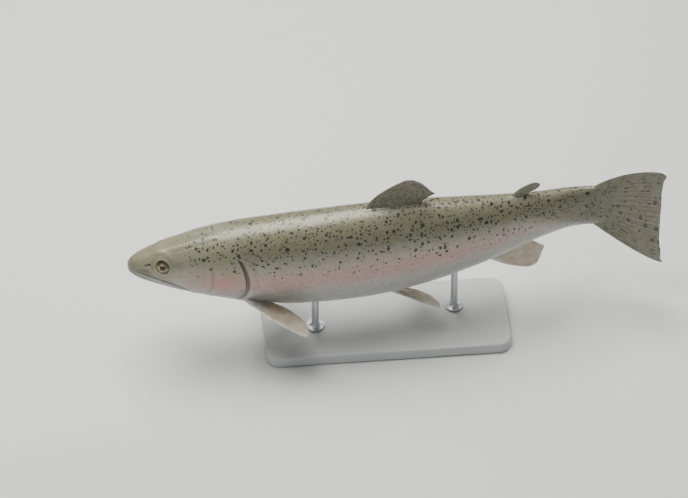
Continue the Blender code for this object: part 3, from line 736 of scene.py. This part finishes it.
def trout_finish(name, scaled):
    """Olive back, rose stripe and pale belly under scattered black spots, with painted shade in grooves
    and at scale rims, and a damp gloss.
    """
    made, tree, place = begun(name, 0.36, Coat_Weight=0.25, Coat_Roughness=0.18, Specular_IOR_Level=0.5)
    back, rose, belly, thick = stored(tree, "zones")
    bronze, dusk, pale_edge, _ = stored(tree, "tints")
    mottle = noise(tree, place, 70.0, 5.0, 0.6)
    fine = noise(tree, place, 420.0, 4.0)[0]
    uneven = stretched(tree, mottle[0], 0.3, 0.7, -0.13, 0.13)
    olive_here = put(tree, "Clamp", {0: worked(tree, "ADD", back, uneven)}).outputs[0]
    colour = mixed(tree, mottle[0], *SILVER)
    for amount, most, shades, cloud in (
            (bronze, 0.65, BRASS, fine), (olive_here, 1.0, OLIVE, mottle[0]), (rose, 0.80, ROSE, fine),
            (belly, 1.0, CREAM, fine), (dusk, 0.75, DUSK, fine)):
        colour = mixed(tree, times(tree, amount, most), colour, mixed(tree, cloud, *shades))
    colour = mixed(tree, times(tree, pale_edge, 0.55), colour, LIP_EDGE)
    ragged = pushed(tree, place, mottle[1], 0.006, (0.5, 0.5, 0.5))
    spotted = 0.0
    thickest = times(tree, thick, back)
    for (cells, least, most), strength in zip(SPOTS, (thick, thick, thickest)):
        layer = dots(tree, ragged, cells, least, most, strength, (-0.03, 0.05), shape="SMOOTHSTEP")
        spotted = worked(tree, "MAXIMUM", spotted, layer)
    if scaled:
        # Each scale's own random tone, with painted shade darkening it towards its rim, where it laps over
        # the next scale.
        tone, along, _, _ = stored(tree, "scale_mark")
        tone_and_rim_shade = times(tree, stretched(tree, tone, 0.0, 1.0, 0.90, 1.09),
                    stretched(tree, along, 0.78, 1.0, 1.0, 0.66))
        colour = mixed(tree, 1.0, colour, greyed(tree, tone_and_rim_shade), "MULTIPLY")
    else:
        dust = dots(tree, ragged, 620.0, 0.35, 0.36, back, (-0.08, 0.06), shown=0.55)
        colour = mixed(tree, dust, colour, DUST)
    # Painted shade: the grooves, pits and gill slits of the skin are darkened by how deep they lie.
    painted_groove_shade = put(tree, "Attribute", attribute_name="painted_groove_shade").outputs["Fac"]
    colour = mixed(tree, times(tree, painted_groove_shade, 0.60), colour, PAINTED_GROOVE_SHADE)
    colour = mixed(tree, times(tree, spotted, 0.96), colour, SPOT)
    covered = worked(tree, "MAXIMUM", spotted, times(tree, back, 0.55))
    bare = worked(tree, "SUBTRACT", 1.0, covered)
    fed(tree, Base_Color=colour, Metallic=times(tree, bare, 0.42 if scaled else 0.12),
        Roughness=stretched(tree, fine, 0.3, 0.7, 0.32, 0.48), Normal=bumped(tree, fine, 0.30, 0.0003))
    return made


# Rows of the skin run round the fish, closest on the head and at the gill opening.
HEAD_ROWS, GILL_ROWS, BODY_ROWS = 200, 5, 112
GILL_NEAR, GILL_PAST = GILL_REAR - 0.0030, GILL_REAR + 0.0050
to_gill = np.concatenate([np.linspace(0, 1, HEAD_ROWS)[:-1] ** 1.9 * GILL_NEAR,
                          np.linspace(GILL_NEAR, GILL_REAR - 0.0010, GILL_ROWS)[:-1]])
gill_steps = np.array([  # (share, metres rearwards, metres outwards) across the free edge
    (-0.0010, 0.0, 0.0), (-0.0006, 0.0003, 0.00005), (-0.0003, 0.0005, -0.0001),
    (0.0000, 0.0006, -0.0005), (0.0003, 0.0002, -0.0010), (0.0006, -0.0016, -0.0014),
    (0.0009, -0.0044, -0.0020), (0.0012, -0.0044, -0.0034), (0.0015, -0.0012, -0.0024),
    (0.0018, 0.0004, -0.0014), (0.0024, 0.0012, -0.0008), (0.0036, 0.0020, -0.0004)])
after_gill = np.linspace(GILL_PAST, SKIN_END, BODY_ROWS)
row_share, row_back, row_out = np.concatenate([
    np.outer(to_gill, (1, 0, 0)), gill_steps + (GILL_REAR, 0, 0), np.outer(after_gill, (1, 0, 0))]).T
# Columns run along it from the belly up each side, closest at the mouth.
lip_steps = np.array([  # (metres up the side, metres outwards) across the mouth
    (-0.0022, 0.0), (-0.0012, 0.00015), (-0.0007, 0.0001), (-0.00042, -0.0002), (-0.00032, -0.0009),
    (-0.00024, -0.0032), (0.00024, -0.0032), (0.00032, -0.0009), (0.00042, -0.0002),
    (0.0007, 0.0001), (0.0012, 0.00015), (0.0022, 0.0)])
BELOW_MOUTH, ABOVE_MOUTH = 46, 72
half_count = BELOW_MOUTH + len(lip_steps) + ABOVE_MOUTH


def column_angles(share):
    """Angles of one side's columns on the rows at these shares, and how far each stands in or out."""
    share = share[:, None]
    mouth = mouth_angle(share)
    speed = np.linalg.norm(body_at(share, mouth + 0.01) - body_at(share, mouth - 0.01), axis=-1) / 0.02
    grip = ramp(share, MOUTH_START, 0.0032)
    lips = mouth + lip_steps[None, :, 0] / np.maximum(speed, 1e-4) * grip
    lips = np.maximum(lips, 0.002 * np.arange(1, len(lip_steps) + 1) - HALF_PI)
    first, last = lips[:, :1], lips[:, -1:]
    low = (first + HALF_PI) * np.linspace(0, 1, BELOW_MOUTH, endpoint=False) - HALF_PI
    high = last + (HALF_PI - last) * np.linspace(0, 1, ABOVE_MOUTH + 1)[1:]
    tight = np.concatenate([low, lips, high], axis=1)
    depth = np.zeros_like(tight)
    open_here = grip * ramp(share, MOUTH_CORNER + 0.004, MOUTH_CORNER - 0.004)
    depth[:, BELOW_MOUTH:-ABOVE_MOUTH] = lip_steps[None, :, 1] * open_here
    loose = np.linspace(-HALF_PI, HALF_PI, half_count)
    free = ramp(share, MOUTH_CORNER + 0.002, MOUTH_CORNER + 0.055)
    return tight + (loose - tight) * free, depth


skin, row, column = grid_piece("skin", len(row_share) - 1, 2 * (half_count - 1))
angles, depths = column_angles(row_share)
angles = np.concatenate([angles, math.pi - angles[:, -2::-1]], axis=1)
depths = np.concatenate([depths, depths[:, -2::-1]], axis=1)
fold = np.arcsin(np.sin(angles))
pull = ramp(row_share, 0.085, GILL_REAR - 0.004) * ramp(row_share, 0.30, GILL_PAST)
shares = row_share[:, None] + pull[:, None] * (gill_share(fold) - GILL_REAR)
heights = body_at(shares, angles)[..., 2] / LENGTH
opened = ramp(heights, GILL_CREST + 0.002, GILL_CREST - 0.012) * ramp(fold + HALF_PI, 0.04, 0.42)
laid_back = shares + row_back[:, None] * opened / LENGTH
outward = depths + row_out[:, None] * opened + relief(laid_back, angles)
points = body_at(laid_back, angles) + normal_at(body_at, laid_back, angles) * outward[..., None]
points[0] = (-0.0001, 0, 0)
points[-1] = points[-1].mean(axis=0)
marked(skin, "zones", zones_at(shares, heights)[row, column])
marked(skin, "tints", tints_at(shares, heights)[row, column])
# Painted shade: how deep each point lies below the plain body, so the finish can darken the grooves.
marked(skin, "painted_groove_shade", np.clip(-outward / GROOVE_SHADE_DEPTH, 0, 1)[row, column])
closed(skin, bent(points)[row, column])
skin.data.materials.append(trout_finish("trout_skin", scaled=False))
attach(skin, "root")
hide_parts("head", "lower_jaw", "upper_lip_left", "upper_lip_right", "gill_cover_left",
            "gill_cover_right", "trunk_front", "trunk_rear", "tail_stalk")


# The scales: small thin shields of horn in slanting rows from the shoulder to the tail's root.
# Each roots in the skin and lies back over the next; the row along the side line is ridged.
SCALE_ALONG = [(0.15, 0.0023), (0.24, 0.0026), (0.34, 0.0030), (0.55, 0.0030), (0.75, 0.0026),
               (0.90, 0.0021)]
ROW_SHARE = 0.88  # width of a row over the step along it
SCALE_REACH = 1.75  # length of a scale over the step along a row
SCALE_SPREAD = 1.32  # width of a scale over the step along a row
FULL_STEP = 0.003  # step between full-grown scales, at which they have this thickness
SCALE_THICKNESS = 0.00013
SCALE_SUNK = 0.00008
SIDE_LINE_RIDGE = 0.00022
SCALE_LIFT = 0.085  # rise of a scale along its length, which lays it on the next one
SCALES_START = 0.150
SCALES_END = 0.893
SCALES_PAST_GILL = 0.0085
VENT_CLEARING = 0.0055
BAKE_PATCH = 0.003  # size of a scale's patch in the map for baking
BAKE_SPREAD, BAKE_MARGIN = 0.99, 0.0035  # share of the map that the patches take up, and their start
SCALE_SEED = 7


def one_scale():
    """A single shield, root at 0 and rim at 1 along X, as wide as 1 and as high as 1."""
    deselected()
    bpy.ops.mesh.primitive_circle_add(vertices=12, radius=0.5, fill_type="NGON", location=(0.5, 0, 0))
    shield = named("one_scale")
    bpy.ops.object.transform_apply(location=True, rotation=True, scale=True)
    bpy.ops.object.mode_set(mode="EDIT")
    bpy.ops.mesh.select_all(action="SELECT")
    bpy.ops.mesh.extrude_region_move(TRANSFORM_OT_translate={"value": (0, 0, 1)})
    bpy.ops.mesh.poke(offset=0.8)
    bpy.ops.mesh.select_all(action="DESELECT")
    bpy.ops.mesh.select_mode(type="EDGE")
    bpy.ops.mesh.select_non_manifold(extend=False)
    bpy.ops.mesh.edge_face_add()
    bpy.ops.transform.resize(value=(0.93, 0.93, 1), center_override=(0.5, 0, 0))
    bpy.ops.mesh.select_all(action="SELECT")
    bpy.ops.mesh.normals_make_consistent(inside=False)
    bpy.ops.object.mode_set(mode="OBJECT")
    for vert in shield.data.vertices:
        vert.co.y *= 0.42 + 0.58 * ramp(vert.co.x, 0.0, 0.5)
    return shield


def scale_roots():
    """Share, angle, row, step and growth of every scale of one side, row by row from the side line."""
    found = []
    at, step_number = SCALES_START, 0
    probe = np.linspace(-HALF_PI, HALF_PI, 241)
    while at < SCALES_END + 0.02:
        step = curve(SCALE_ALONG, at)
        width = step * ROW_SHARE
        ring = body_at(np.full_like(probe, at), probe)
        arc = np.concatenate([[0], np.cumsum(np.linalg.norm(np.diff(ring, axis=0), axis=1))])
        side_line = np.interp(curve(LATERAL_LINE, at) * LENGTH, ring[:, 2], arc)
        lowest, highest = math.ceil(-side_line / width), math.floor((arc[-1] - side_line) / width + 0.3)
        rows_here = np.arange(lowest, highest + 1)
        rows_here = rows_here[rows_here % 2 == step_number % 2]
        angle = np.interp(side_line + rows_here * width, arc, probe)
        begin = gill_share(angle) + SCALES_PAST_GILL
        finish = SCALES_END - 0.003 + 0.016 * np.abs(np.sin(angle)) ** 3 + 0.0016 * np.sin(rows_here * 2.3)
        from_vent = np.hypot((at - VENT_AT) * LENGTH, (angle + HALF_PI) * section(at)[0])
        kept = (at > begin) & (at < finish) & (from_vent > VENT_CLEARING)
        grown = 0.45 + 0.55 * np.minimum(ramp(at - begin, 0.0, 0.030), ramp(finish - at, -0.002, 0.020))
        found.append(np.stack([0 * angle + at, angle, rows_here, 0 * angle + step, grown], axis=1)[kept])
        at += step / 2 / LENGTH
        step_number += 1
    return np.concatenate(found)


def joined(name, shape, points):
    """One mesh of many copies of a shape, from each copy's points, and the vertex at each corner."""
    count, size = points.shape[:2]
    faces = [list(face.vertices) for face in shape.data.polygons]
    corners = np.array([v for face in faces for v in face])
    corner_of = (np.arange(count)[:, None] * size + corners).ravel()
    starts = np.concatenate([[0], np.cumsum(np.tile([len(face) for face in faces], count))[:-1]])
    mesh = bpy.data.meshes.new(name)
    mesh.vertices.add(count * size)
    mesh.loops.add(len(corner_of))
    mesh.polygons.add(len(starts))
    mesh.vertices.foreach_set("co", points.ravel())
    mesh.loops.foreach_set("vertex_index", corner_of)
    mesh.polygons.foreach_set("loop_start", starts)
    mesh.update(calc_edges=True)
    piece = bpy.data.objects.new(name, mesh)
    bpy.context.scene.collection.objects.link(piece)
    return piece, corner_of


def laid_scales(name, roots, side, chance):
    """A joined mesh of scales, one at each root, lying back along one side of the fish."""
    share, fold, row_number, step, grown = roots.T
    angle = fold if side > 0 else math.pi - fold
    turn, longer, wider, higher = chance.uniform(-1, 1, (4, len(roots)))
    root = skin_at(share, angle)
    back = skin_at(share + 0.002, angle) - skin_at(share - 0.002, angle)
    back /= np.linalg.norm(back, axis=1, keepdims=True)
    out = normal_at(skin_at, share, angle)
    across = np.cross(out, back)
    back += across * (0.05 * turn)[:, None]
    length = step * SCALE_REACH * (1 + 0.04 * longer) * (0.80 + 0.20 * grown)
    width = step * SCALE_SPREAD * (1 + 0.04 * wider) * (0.84 + 0.16 * grown)
    lift = SCALE_LIFT * (1 + 0.12 * higher) * (0.45 + 0.55 * grown)
    local = np.array([vert.co for vert in shield.data.vertices])
    along, over = np.outer(length, local[:, 0]), np.outer(width, local[:, 1])
    sag = over ** 2 / (2 * section(share)[0][:, None] + 0.004)
    rise = np.outer(SCALE_THICKNESS * step / FULL_STEP, local[:, 2]) + along * lift[:, None]
    rise += SIDE_LINE_RIDGE * np.outer(row_number == 0, local[:, 2] > 1.2) - sag - SCALE_SUNK
    points = root[:, None] + sum(way[:, None] * far[..., None]
                                 for way, far in ((back, along), (across, over), (out, rise)))
    piece, corner_of = joined(name, shield, bent(points))

    def each(values):
        return np.repeat(values, len(local), axis=0)

    marked(piece, "zones", each(zones_at(share, root[:, 2] / LENGTH)))
    marked(piece, "tints", each(tints_at(share, root[:, 2] / LENGTH)))
    # The second number runs from a scale's root to its rim; the finish paints shade along the rim with it.
    tone = each(chance.uniform(0, 1, len(roots)))
    marked(piece, "scale_mark", np.stack([tone, np.tile(local[:, 0], len(roots)),
                                          each(1.0 * (row_number == 0)), np.ones(len(tone))], axis=1))
    middle_u = (share - share.min()) / np.ptp(share) * BAKE_SPREAD
    middle_v = (fold - fold.min()) / np.ptp(fold) * BAKE_SPREAD + BAKE_MARGIN
    chart = np.stack([middle_u[:, None] + local[:, 0] * BAKE_PATCH,
                      middle_v[:, None] + local[:, 1] * BAKE_PATCH], axis=-1).reshape(-1, 2)
    piece.data.uv_layers.new(name="OFBake").data.foreach_set("uv", chart[corner_of].ravel())
    deselected()
    piece.select_set(True)
    bpy.context.view_layer.objects.active = piece
    bpy.ops.object.shade_smooth_by_angle(angle=math.radians(40))
    return piece


shield = one_scale()
roots = scale_roots()
scale_finish = trout_finish("trout_scales", scaled=True)
chance = np.random.default_rng(SCALE_SEED)
halfway = np.median(roots[:, 0])
for word, side in (("left", -1), ("right", 1)):
    for stretch, kept in (("front", roots[:, 0] < halfway), ("rear", roots[:, 0] >= halfway)):
        coat = laid_scales("scales_" + word + "_" + stretch, roots[kept], side, chance)
        coat.data.materials.append(scale_finish)
        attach(coat, "root")
bpy.data.objects.remove(shield)


# The fins: a thin skin stretched over bony rays, which branch towards the free edge. Each grows out
# of a fleshy root sunk in the body, and waves a little in the current.
FIN_SKIN = 0.00045
RAY_HEIGHT = 0.00050
MIDLINE_SUNK, PAIRED_SUNK = 0.012, 0.009  # depth of a fin's root in the body
FIN_SPOT = (0.016, 0.016, 0.014)


def ray_pattern(a, r, rays):
    """Height of the rays, from 0 between them to 1, at a across the fin and r along it."""
    off = np.abs((a * rays) % 1.0 - 0.5)
    first = 0.24 * ramp(r, 0.34, 0.80)
    second = 0.115 * ramp(r, 0.66, 1.0)
    width = 0.17 - 0.06 * ramp(r, 0.3, 0.7) - 0.05 * ramp(r, 0.65, 1.0)
    off = np.abs(np.abs(off - first) - second)
    return hill(off, width)


def ray_of(rays, a):
    """Length in metres and angle in radians of ray a, from a list of (a, share of length, degrees)."""
    length = curve([(x[0], x[1]) for x in rays], a) * LENGTH
    return length, np.radians(curve([(x[0], x[2]) for x in rays], a))


def edge_wear(a, rays, seed):
    """How much shorter the fin is at a: the skin draws back between ray tips and has small nicks."""
    chance = np.random.default_rng(seed)
    nick = sum(chance.uniform(0.2, 1.0) * np.sin(a * rays * k * 0.37 + chance.uniform(0, 6.3))
               for k in range(1, 6))
    between = 1 - ray_pattern(a, np.ones_like(a), rays)
    return 0.005 * between + 0.0045 * nick


def fin_piece(name, place, rays, per_ray, rows, seed, finish, node=None, rayed=1.0):
    """A closed thin sheet that shows a node. place(a, r) gives its middle, the way across it, how far
    out it is from 0 to 1, and its root's half thickness. rayed is 0 for a lobe of flesh."""
    columns = 2 * rays * per_ray
    piece, row, column = grid_piece(name, rows, columns)
    turn = column / columns * 2
    a = np.where(turn <= 1, turn, 2 - turn)
    face = np.where(turn <= 1, 1.0, -1.0)
    r = row / rows
    reach = r * (1 - rayed * edge_wear(a, rays, seed) * ramp(r, 0.5, 1.0))
    middle, across, out, root_half = place(a, reach)
    pattern = rayed * ray_pattern(a, np.clip(out, 0, 1), rays)
    fleshy = root_half * (1 - np.clip(out, 0, 1)) ** 6
    skin_half = FIN_SKIN / 2 * (1 - 0.45 * out) + RAY_HEIGHT / 2 * pattern * (1 - 0.60 * out)
    lead = 0.0005 * hill(a, 0.035) * (1 - 0.6 * out)
    flesh = (1 - rayed) * root_half * (1 - 0.62 * np.clip(out, 0, 1))
    half = np.maximum(np.maximum(fleshy, skin_half + lead), flesh)
    rounded = np.sqrt(np.clip(np.minimum(a, 1 - a) * rays * (3 if rayed else 0.8), 0, 1))
    rounded *= np.where(rayed, 1.0, np.sqrt(np.clip((1 - r) * 5, 0, 1)))
    half = half * rounded * np.where((row == 0) | (row == rows), 0, 1)
    points = middle + across * (face * half)[:, None]
    flow = np.stack([a * rays, np.clip(out, 0, 1), pattern, fleshy / (fleshy + 0.0006)], axis=1)
    marked(piece, "fin_flow", flow)
    closed(piece, bent(points), merge=1e-6)
    piece.data.materials.append(finish)
    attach(piece, "root")
    if node:
        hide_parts(node)


def fin_finish(name, skin_colour, ray_colour, edge_colour, root_colour, lead_colour, spots, glow):
    """Thin fin skin over darker rays, paler towards the free edge, with black spots between rays."""
    made, tree, place = begun(name, 0.40, Coat_Weight=0.30, Coat_Roughness=0.18, Subsurface_Weight=glow,
                              Subsurface_Scale=0.0020, Subsurface_Radius=(1.0, 0.86, 0.70))
    across, out, ray, fleshy = stored(tree, "fin_flow")
    cloud = noise(tree, place, 130.0, 4.0)
    fine = noise(tree, place, 900.0, 3.0)[0]
    colour = mixed(tree, stretched(tree, out, 0.45, 1.0, 0.0, 0.8), skin_colour, edge_colour)
    colour = mixed(tree, times(tree, ray, 0.75), colour, ray_colour)
    lead = times(tree, stretched(tree, across, 0.25, 1.5, 0.85, 0.0),
                 stretched(tree, out, 0.0, 0.35, 0.0, 1.0))
    colour = mixed(tree, lead, colour, lead_colour)
    colour = mixed(tree, fleshy, colour, root_colour)
    shade = greyed(tree, stretched(tree, cloud[0], 0.3, 0.7, 0.78, 1.18))
    colour = mixed(tree, 1.0, colour, shade, "MULTIPLY")
    if spots:
        by_ray = put(tree, "CombineXYZ", {0: across, 1: times(tree, out, 10.0)}).outputs[0]
        mask = dots(tree, pushed(tree, by_ray, cloud[1], 0.5), 1.0, 0.10, 0.36, 1.0, (-0.03, 0.06),
                    loose=0.75, voronoi_dimensions="2D")
        colour = mixed(tree, times(tree, mask, spots), colour, FIN_SPOT)
    joints = worked(tree, "SINE", times(tree, out, 240.0))
    joints = times(tree, times(tree, joints, ray), 0.25)
    fed(tree, Base_Color=colour, Normal=bumped(tree, worked(tree, "ADD", joints, fine), 0.35, 0.0003))
    return made


def leaned(rays, a, r, sunk, sweep):
    """For a fin with a sunk root: each ray's length, how far out it is, how far free, and its lean."""
    length, lean = ray_of(rays, a)
    out = (length + sunk) * r - sunk
    free = np.maximum(out, 0)
    return length, out, free, lean + sweep * (1 - 0.7 * a) * free / length / 2


def sideways(a):
    """The way across a fin on the midline, at each of its points."""
    return np.tile((0.0, 1.0, 0.0), (len(a), 1))


def median_place(outline, first, last, rays, root, up, sweep, curl, wave):
    """Where a fin on the midline lies, from first to last along an outline. up is -1 on the belly."""
    def place(a, r):
        share = first + (last - first) * a
        length, out, free, lean = leaned(rays, a, r, MIDLINE_SUNK, -sweep)
        x = share * LENGTH + out * np.cos(lean)
        y = curl * free ** 2 + wave * (free / length) ** 1.5 * np.sin(7.0 * a + 4.2 * free / length)
        z = curve(outline, share) * LENGTH + up * out * np.sin(lean)
        return np.stack([x, y, z], axis=1), sideways(a), free / length, root / 2
    return place


# The tail fin's sizes are shares of the fish's length.
TAIL_ROOT = 0.862
TAIL_TIP_HEIGHT = 0.114
TAIL_FORK = 0.010
TAIL_ROUNDING = 0.013


def tail_place(a, r):
    """Where the tail fin lies: rays fan out of the tail's root to a nearly straight edge."""
    v = 2 * a - 1
    half, top, bottom, _, _, _ = section(np.array(TAIL_ROOT))
    root_z = (top + bottom) / 2 + v * (top - bottom) / 2 * 0.97
    tip_z = TAIL_TIP_HEIGHT * np.sign(v) * np.sin(np.pi / 2 * np.abs(v) ** 0.9) ** 0.95
    rounding = TAIL_ROUNDING * np.maximum(0, (np.abs(v) - 0.72) / 0.28) ** 3
    fork = TAIL_FORK * np.where(np.abs(v) < 0.8, 1 - (np.abs(v) / 0.8) ** 1.6, 0)
    x = LENGTH * (TAIL_ROOT + (1 - fork - rounding - TAIL_ROOT) * r)
    y = 0.0022 * r ** 1.5 * np.sin(9.0 * a + 3.0 * r)
    left = np.maximum(1 - r, 0)  # a ray that is worn less than the rest runs a little past the edge
    z = root_z + (tip_z * LENGTH - root_z) * (1 - left ** 1.55)
    return np.stack([x, y, z], axis=1), sideways(a), r, half * np.sqrt(np.clip(1 - v * v, 0, 1)) * 0.8


upper = fin_finish("upper_fin_skin", skin_colour=(0.150, 0.144, 0.092), ray_colour=(0.074, 0.070, 0.047),
                   edge_colour=(0.205, 0.195, 0.145), root_colour=(0.145, 0.143, 0.085),
                   lead_colour=(0.18, 0.17, 0.12), spots=0.92, glow=0.15)
lower = fin_finish("lower_fin_skin", skin_colour=(0.40, 0.345, 0.270), ray_colour=(0.26, 0.215, 0.160),
                   edge_colour=(0.52, 0.480, 0.415), root_colour=(0.50, 0.465, 0.41),
                   lead_colour=(0.74, 0.72, 0.67), spots=0.0, glow=0.40)

# Rays of each fin from its front: (share of the fin, length as a share of the fish's, degrees back).
DORSAL = [(0, 0.052, 60), (0.05, 0.077, 58), (0.12, 0.090, 56), (0.22, 0.0895, 53), (0.4, 0.079, 49),
          (0.6, 0.064, 45), (0.8, 0.049, 42), (1, 0.036, 39)]
ADIPOSE = [(0, 0.018, 52), (0.12, 0.032, 47), (0.35, 0.042, 39), (0.6, 0.043, 31), (0.85, 0.036, 24),
           (1, 0.022, 20)]
ANAL = [(0, 0.050, 50), (0.05, 0.074, 48), (0.12, 0.090, 47), (0.20, 0.0955, 45), (0.30, 0.0945, 44),
        (0.45, 0.086, 43), (0.7, 0.067, 43), (1, 0.043, 45)]
fin_piece("dorsal_fin_rays", median_place(
    BACK, 0.430, 0.532, DORSAL, root=0.0060, up=1, sweep=0.42, curl=-1.0, wave=0.0012),
    rays=13, per_ray=14, rows=46, seed=3, finish=upper, node="dorsal_fin")
fin_piece("adipose_fin_lobe", median_place(
    BACK, 0.706, 0.731, ADIPOSE, root=0.0052, up=1, sweep=0.35, curl=0.0, wave=0.0004),
    rays=6, per_ray=12, rows=30, seed=4, finish=upper, node="adipose_fin", rayed=0.0)
fin_piece("anal_fin_rays", median_place(
    BELLY, 0.657, 0.742, ANAL, root=0.0055, up=-1, sweep=0.40, curl=-0.6, wave=0.0010),
    rays=12, per_ray=14, rows=44, seed=5, finish=lower, node="anal_fin")
fin_piece("tail_fin_rays", tail_place, rays=22, per_ray=14, rows=64, seed=6, finish=upper,
          node="tail_fin")


def flank_at(share, z):
    """Half width of the skin at a height."""
    half, top, bottom, level, above, under = section(np.array(share))
    roundness, reach = (above, top - level) if z >= level else (under, bottom - level)
    return half * max(0.0, 1 - abs((z - level) / reach) ** roundness) ** (1 / roundness)


def paired_place(share, level, direction, across, width, rays, root, sweep, wave):
    """Where a fin on one side lies. direction is its middle ray's, and across runs to its last ray.
    Its place and width are shares of the fish's length."""
    side = math.copysign(1, direction[1])
    u = np.array(direction) / np.linalg.norm(direction)
    v = np.array(across) - u * np.dot(across, u)
    v /= np.linalg.norm(v)
    normal = np.cross(u, v)
    z = level * LENGTH
    origin = np.array([share * LENGTH, side * flank_at(share, z), z])

    def place(a, r):
        length, out, free, turn = leaned(rays, a, r, PAIRED_SUNK, sweep)
        start = origin + v * ((a - 0.5) * width * LENGTH)[:, None]
        ray = u * np.cos(turn)[:, None] + v * np.sin(turn)[:, None]
        bow = sideways(a) * (-side * 1.2 * free ** 2)[:, None]
        ripple = wave * (free / length) ** 1.5 * np.sin(6.0 * a + 3.5 * free / length)
        middle = start + ray * out[:, None] + bow + normal * ripple[:, None]
        return middle, np.tile(normal, (len(a), 1)), free / length, root / 2
    return place


PECTORAL = [(0, 0.080, -9), (0.06, 0.110, -8), (0.15, 0.124, -6), (0.3, 0.122, -2), (0.5, 0.110, 4),
            (0.7, 0.092, 10), (0.88, 0.070, 17), (1, 0.050, 22)]
PELVIC = [(0, 0.056, -10), (0.06, 0.078, -9), (0.15, 0.087, -6), (0.35, 0.084, 0), (0.6, 0.071, 8),
          (0.82, 0.056, 14), (1, 0.040, 20)]
PELVIC_LOBE = [(0, 0.020, 10), (0.3, 0.029, 5), (0.7, 0.029, -5), (1, 0.020, -10)]
for word, side in (("left", -1), ("right", 1)):
    fin_piece("pectoral_fin_" + word + "_rays", paired_place(
        0.226, -0.057, direction=(0.74, 0.60 * side, -0.28), across=(0.50, -0.60 * side, -0.30),
        width=0.032, rays=PECTORAL, root=0.0050, sweep=0.30, wave=0.0010),
        rays=13, per_ray=11, rows=44, seed=8, finish=lower, node="pectoral_fin_" + word)
    fin_piece("pelvic_fin_" + word + "_rays", paired_place(
        0.488, -0.089, direction=(0.84, 0.38 * side, -0.36), across=(0.30, -0.80 * side, -0.30),
        width=0.026, rays=PELVIC, root=0.0045, sweep=0.30, wave=0.0008),
        rays=10, per_ray=11, rows=36, seed=9, finish=lower, node="pelvic_fin_" + word)
# A short lobe of skin above each pelvic fin.
for word, side in (("left", -1), ("right", 1)):
    fin_piece("pelvic_lobe_" + word, paired_place(
        0.487, -0.0800, direction=(0.96, 0.16 * side, -0.20), across=(0.20, -0.30 * side, -0.90),
        width=0.010, rays=PELVIC_LOBE, root=0.0030, sweep=0.0, wave=0.0),
        rays=4, per_ray=12, rows=24, seed=10, finish=lower, rayed=0.0)


# The eyes: a lens-shaped ball of hard glossy glass in each socket, held by the rim of skin, with a
# black pupil, a thin gold ring round it and a bronze iris darkened above.
EYE_DOME = 0.0017
EYE_CURVE = 0.0115
EYE_BACK = 0.0045
# Rings of the eye from the pupil's middle outwards: (share of the radius, colour).
IRIS_BANDS = [(0.425, (0.006, 0.006, 0.006)), (0.44, (0.72, 0.50, 0.20)), (0.485, (0.56, 0.37, 0.14)),
              (0.54, (0.19, 0.15, 0.075)), (0.80, (0.25, 0.215, 0.125)), (0.93, (0.07, 0.065, 0.05)),
              (1.0, (0.02, 0.02, 0.018))]
IRIS_DUSK = (0.035, 0.031, 0.022)


def eye_socket(side):
    """Centre of an eye on the straight fish, and the ways out of the head, forward and up from it."""
    share, climb = np.array([EYE_AT[0]]), np.linspace(-1.5, 1.5, 600)
    fold = np.interp(EYE_AT[1] * LENGTH, body_at(share, climb)[:, 2], climb)
    angle = np.array([fold if side > 0 else math.pi - fold])
    out = normal_at(body_at, share, angle)[0]
    forward = np.array([-1.0, 0, 0]) - out * np.dot([-1.0, 0, 0], out)
    forward /= np.linalg.norm(forward)
    return body_at(share, angle)[0], out, forward, np.cross(out, forward) * -side


def eye_finish():
    """Black pupil drawn out to a point in front, thin gold ring, flecked bronze iris, clear gloss."""
    made, tree, place = begun("eye_glass", 0.16, Coat_Weight=1.0, Coat_Roughness=0.03,
                              Specular_IOR_Level=0.1)
    ahead, above, away, _ = stored(tree, "iris")
    pupil_from = worked(tree, "SUBTRACT", away, stretched(tree, ahead, 0.1, 0.6, 0.0, 0.10))
    bands = put(tree, "ValToRGB", {0: pupil_from})
    stops = bands.color_ramp.elements
    stops[0].position, stops[1].position = IRIS_BANDS[0][0], IRIS_BANDS[-1][0]
    stops[0].color, stops[1].color = (*IRIS_BANDS[0][1], 1), (*IRIS_BANDS[-1][1], 1)
    for position, colour in IRIS_BANDS[1:-1]:
        stops.new(position).color = (*colour, 1)
    dusk = worked(tree, "ADD", stretched(tree, above, 0.1, 0.7, 0.0, 0.8),
                  stretched(tree, above, -0.45, -0.85, 0.0, 0.5))
    dusk = times(tree, dusk, stretched(tree, pupil_from, 0.50, 0.56, 0.0, 1.0))
    flecks = stretched(tree, noise(tree, place, 1300.0, 5.0)[0], 0.48, 0.62, 0.0, 0.35)
    dusk = worked(tree, "ADD", dusk, flecks)
    dusk = times(tree, dusk, stretched(tree, pupil_from, 0.47, 0.53, 0.0, 1.0))
    dusk = put(tree, "Clamp", {0: dusk}).outputs[0]
    fed(tree, Base_Color=mixed(tree, dusk, bands.outputs[0], IRIS_DUSK),
        Metallic=stretched(tree, pupil_from, 0.425, 0.46, 0.0, 0.7))
    return made


glass = eye_finish()
for word, side in (("left", -1), ("right", 1)):
    deselected()
    bpy.ops.mesh.primitive_uv_sphere_add(segments=72, ring_count=40, radius=1, location=(0, 0, 0))
    eye = named("eye_" + word + "_glass")
    unit = np.array([vert.co for vert in eye.data.vertices])
    away = np.hypot(unit[:, 0], unit[:, 1])
    bulge = 0.00025 * hill(away, 0.36) - 0.00012 * hill(away - 0.52, 0.10)
    front = EYE_DOME - (away * EYE_RADIUS) ** 2 / (2 * EYE_CURVE) + bulge
    rim = EYE_DOME - EYE_RADIUS ** 2 / (2 * EYE_CURVE)
    high = np.where(unit[:, 2] >= 0, front, rim + unit[:, 2] * EYE_BACK)
    centre, out, forward, up = eye_socket(side)
    points = (centre + forward * (unit[:, :1] * EYE_RADIUS) + up * (unit[:, 1:2] * EYE_RADIUS)
              + out * high[:, None])
    marked(eye, "iris", np.stack([unit[:, 0], unit[:, 1], away, 1.0 * (unit[:, 2] >= 0)], axis=1))
    closed(eye, bent(points))
    eye.data.materials.append(glass)
    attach(eye, "root")
    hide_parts("eye_" + word)
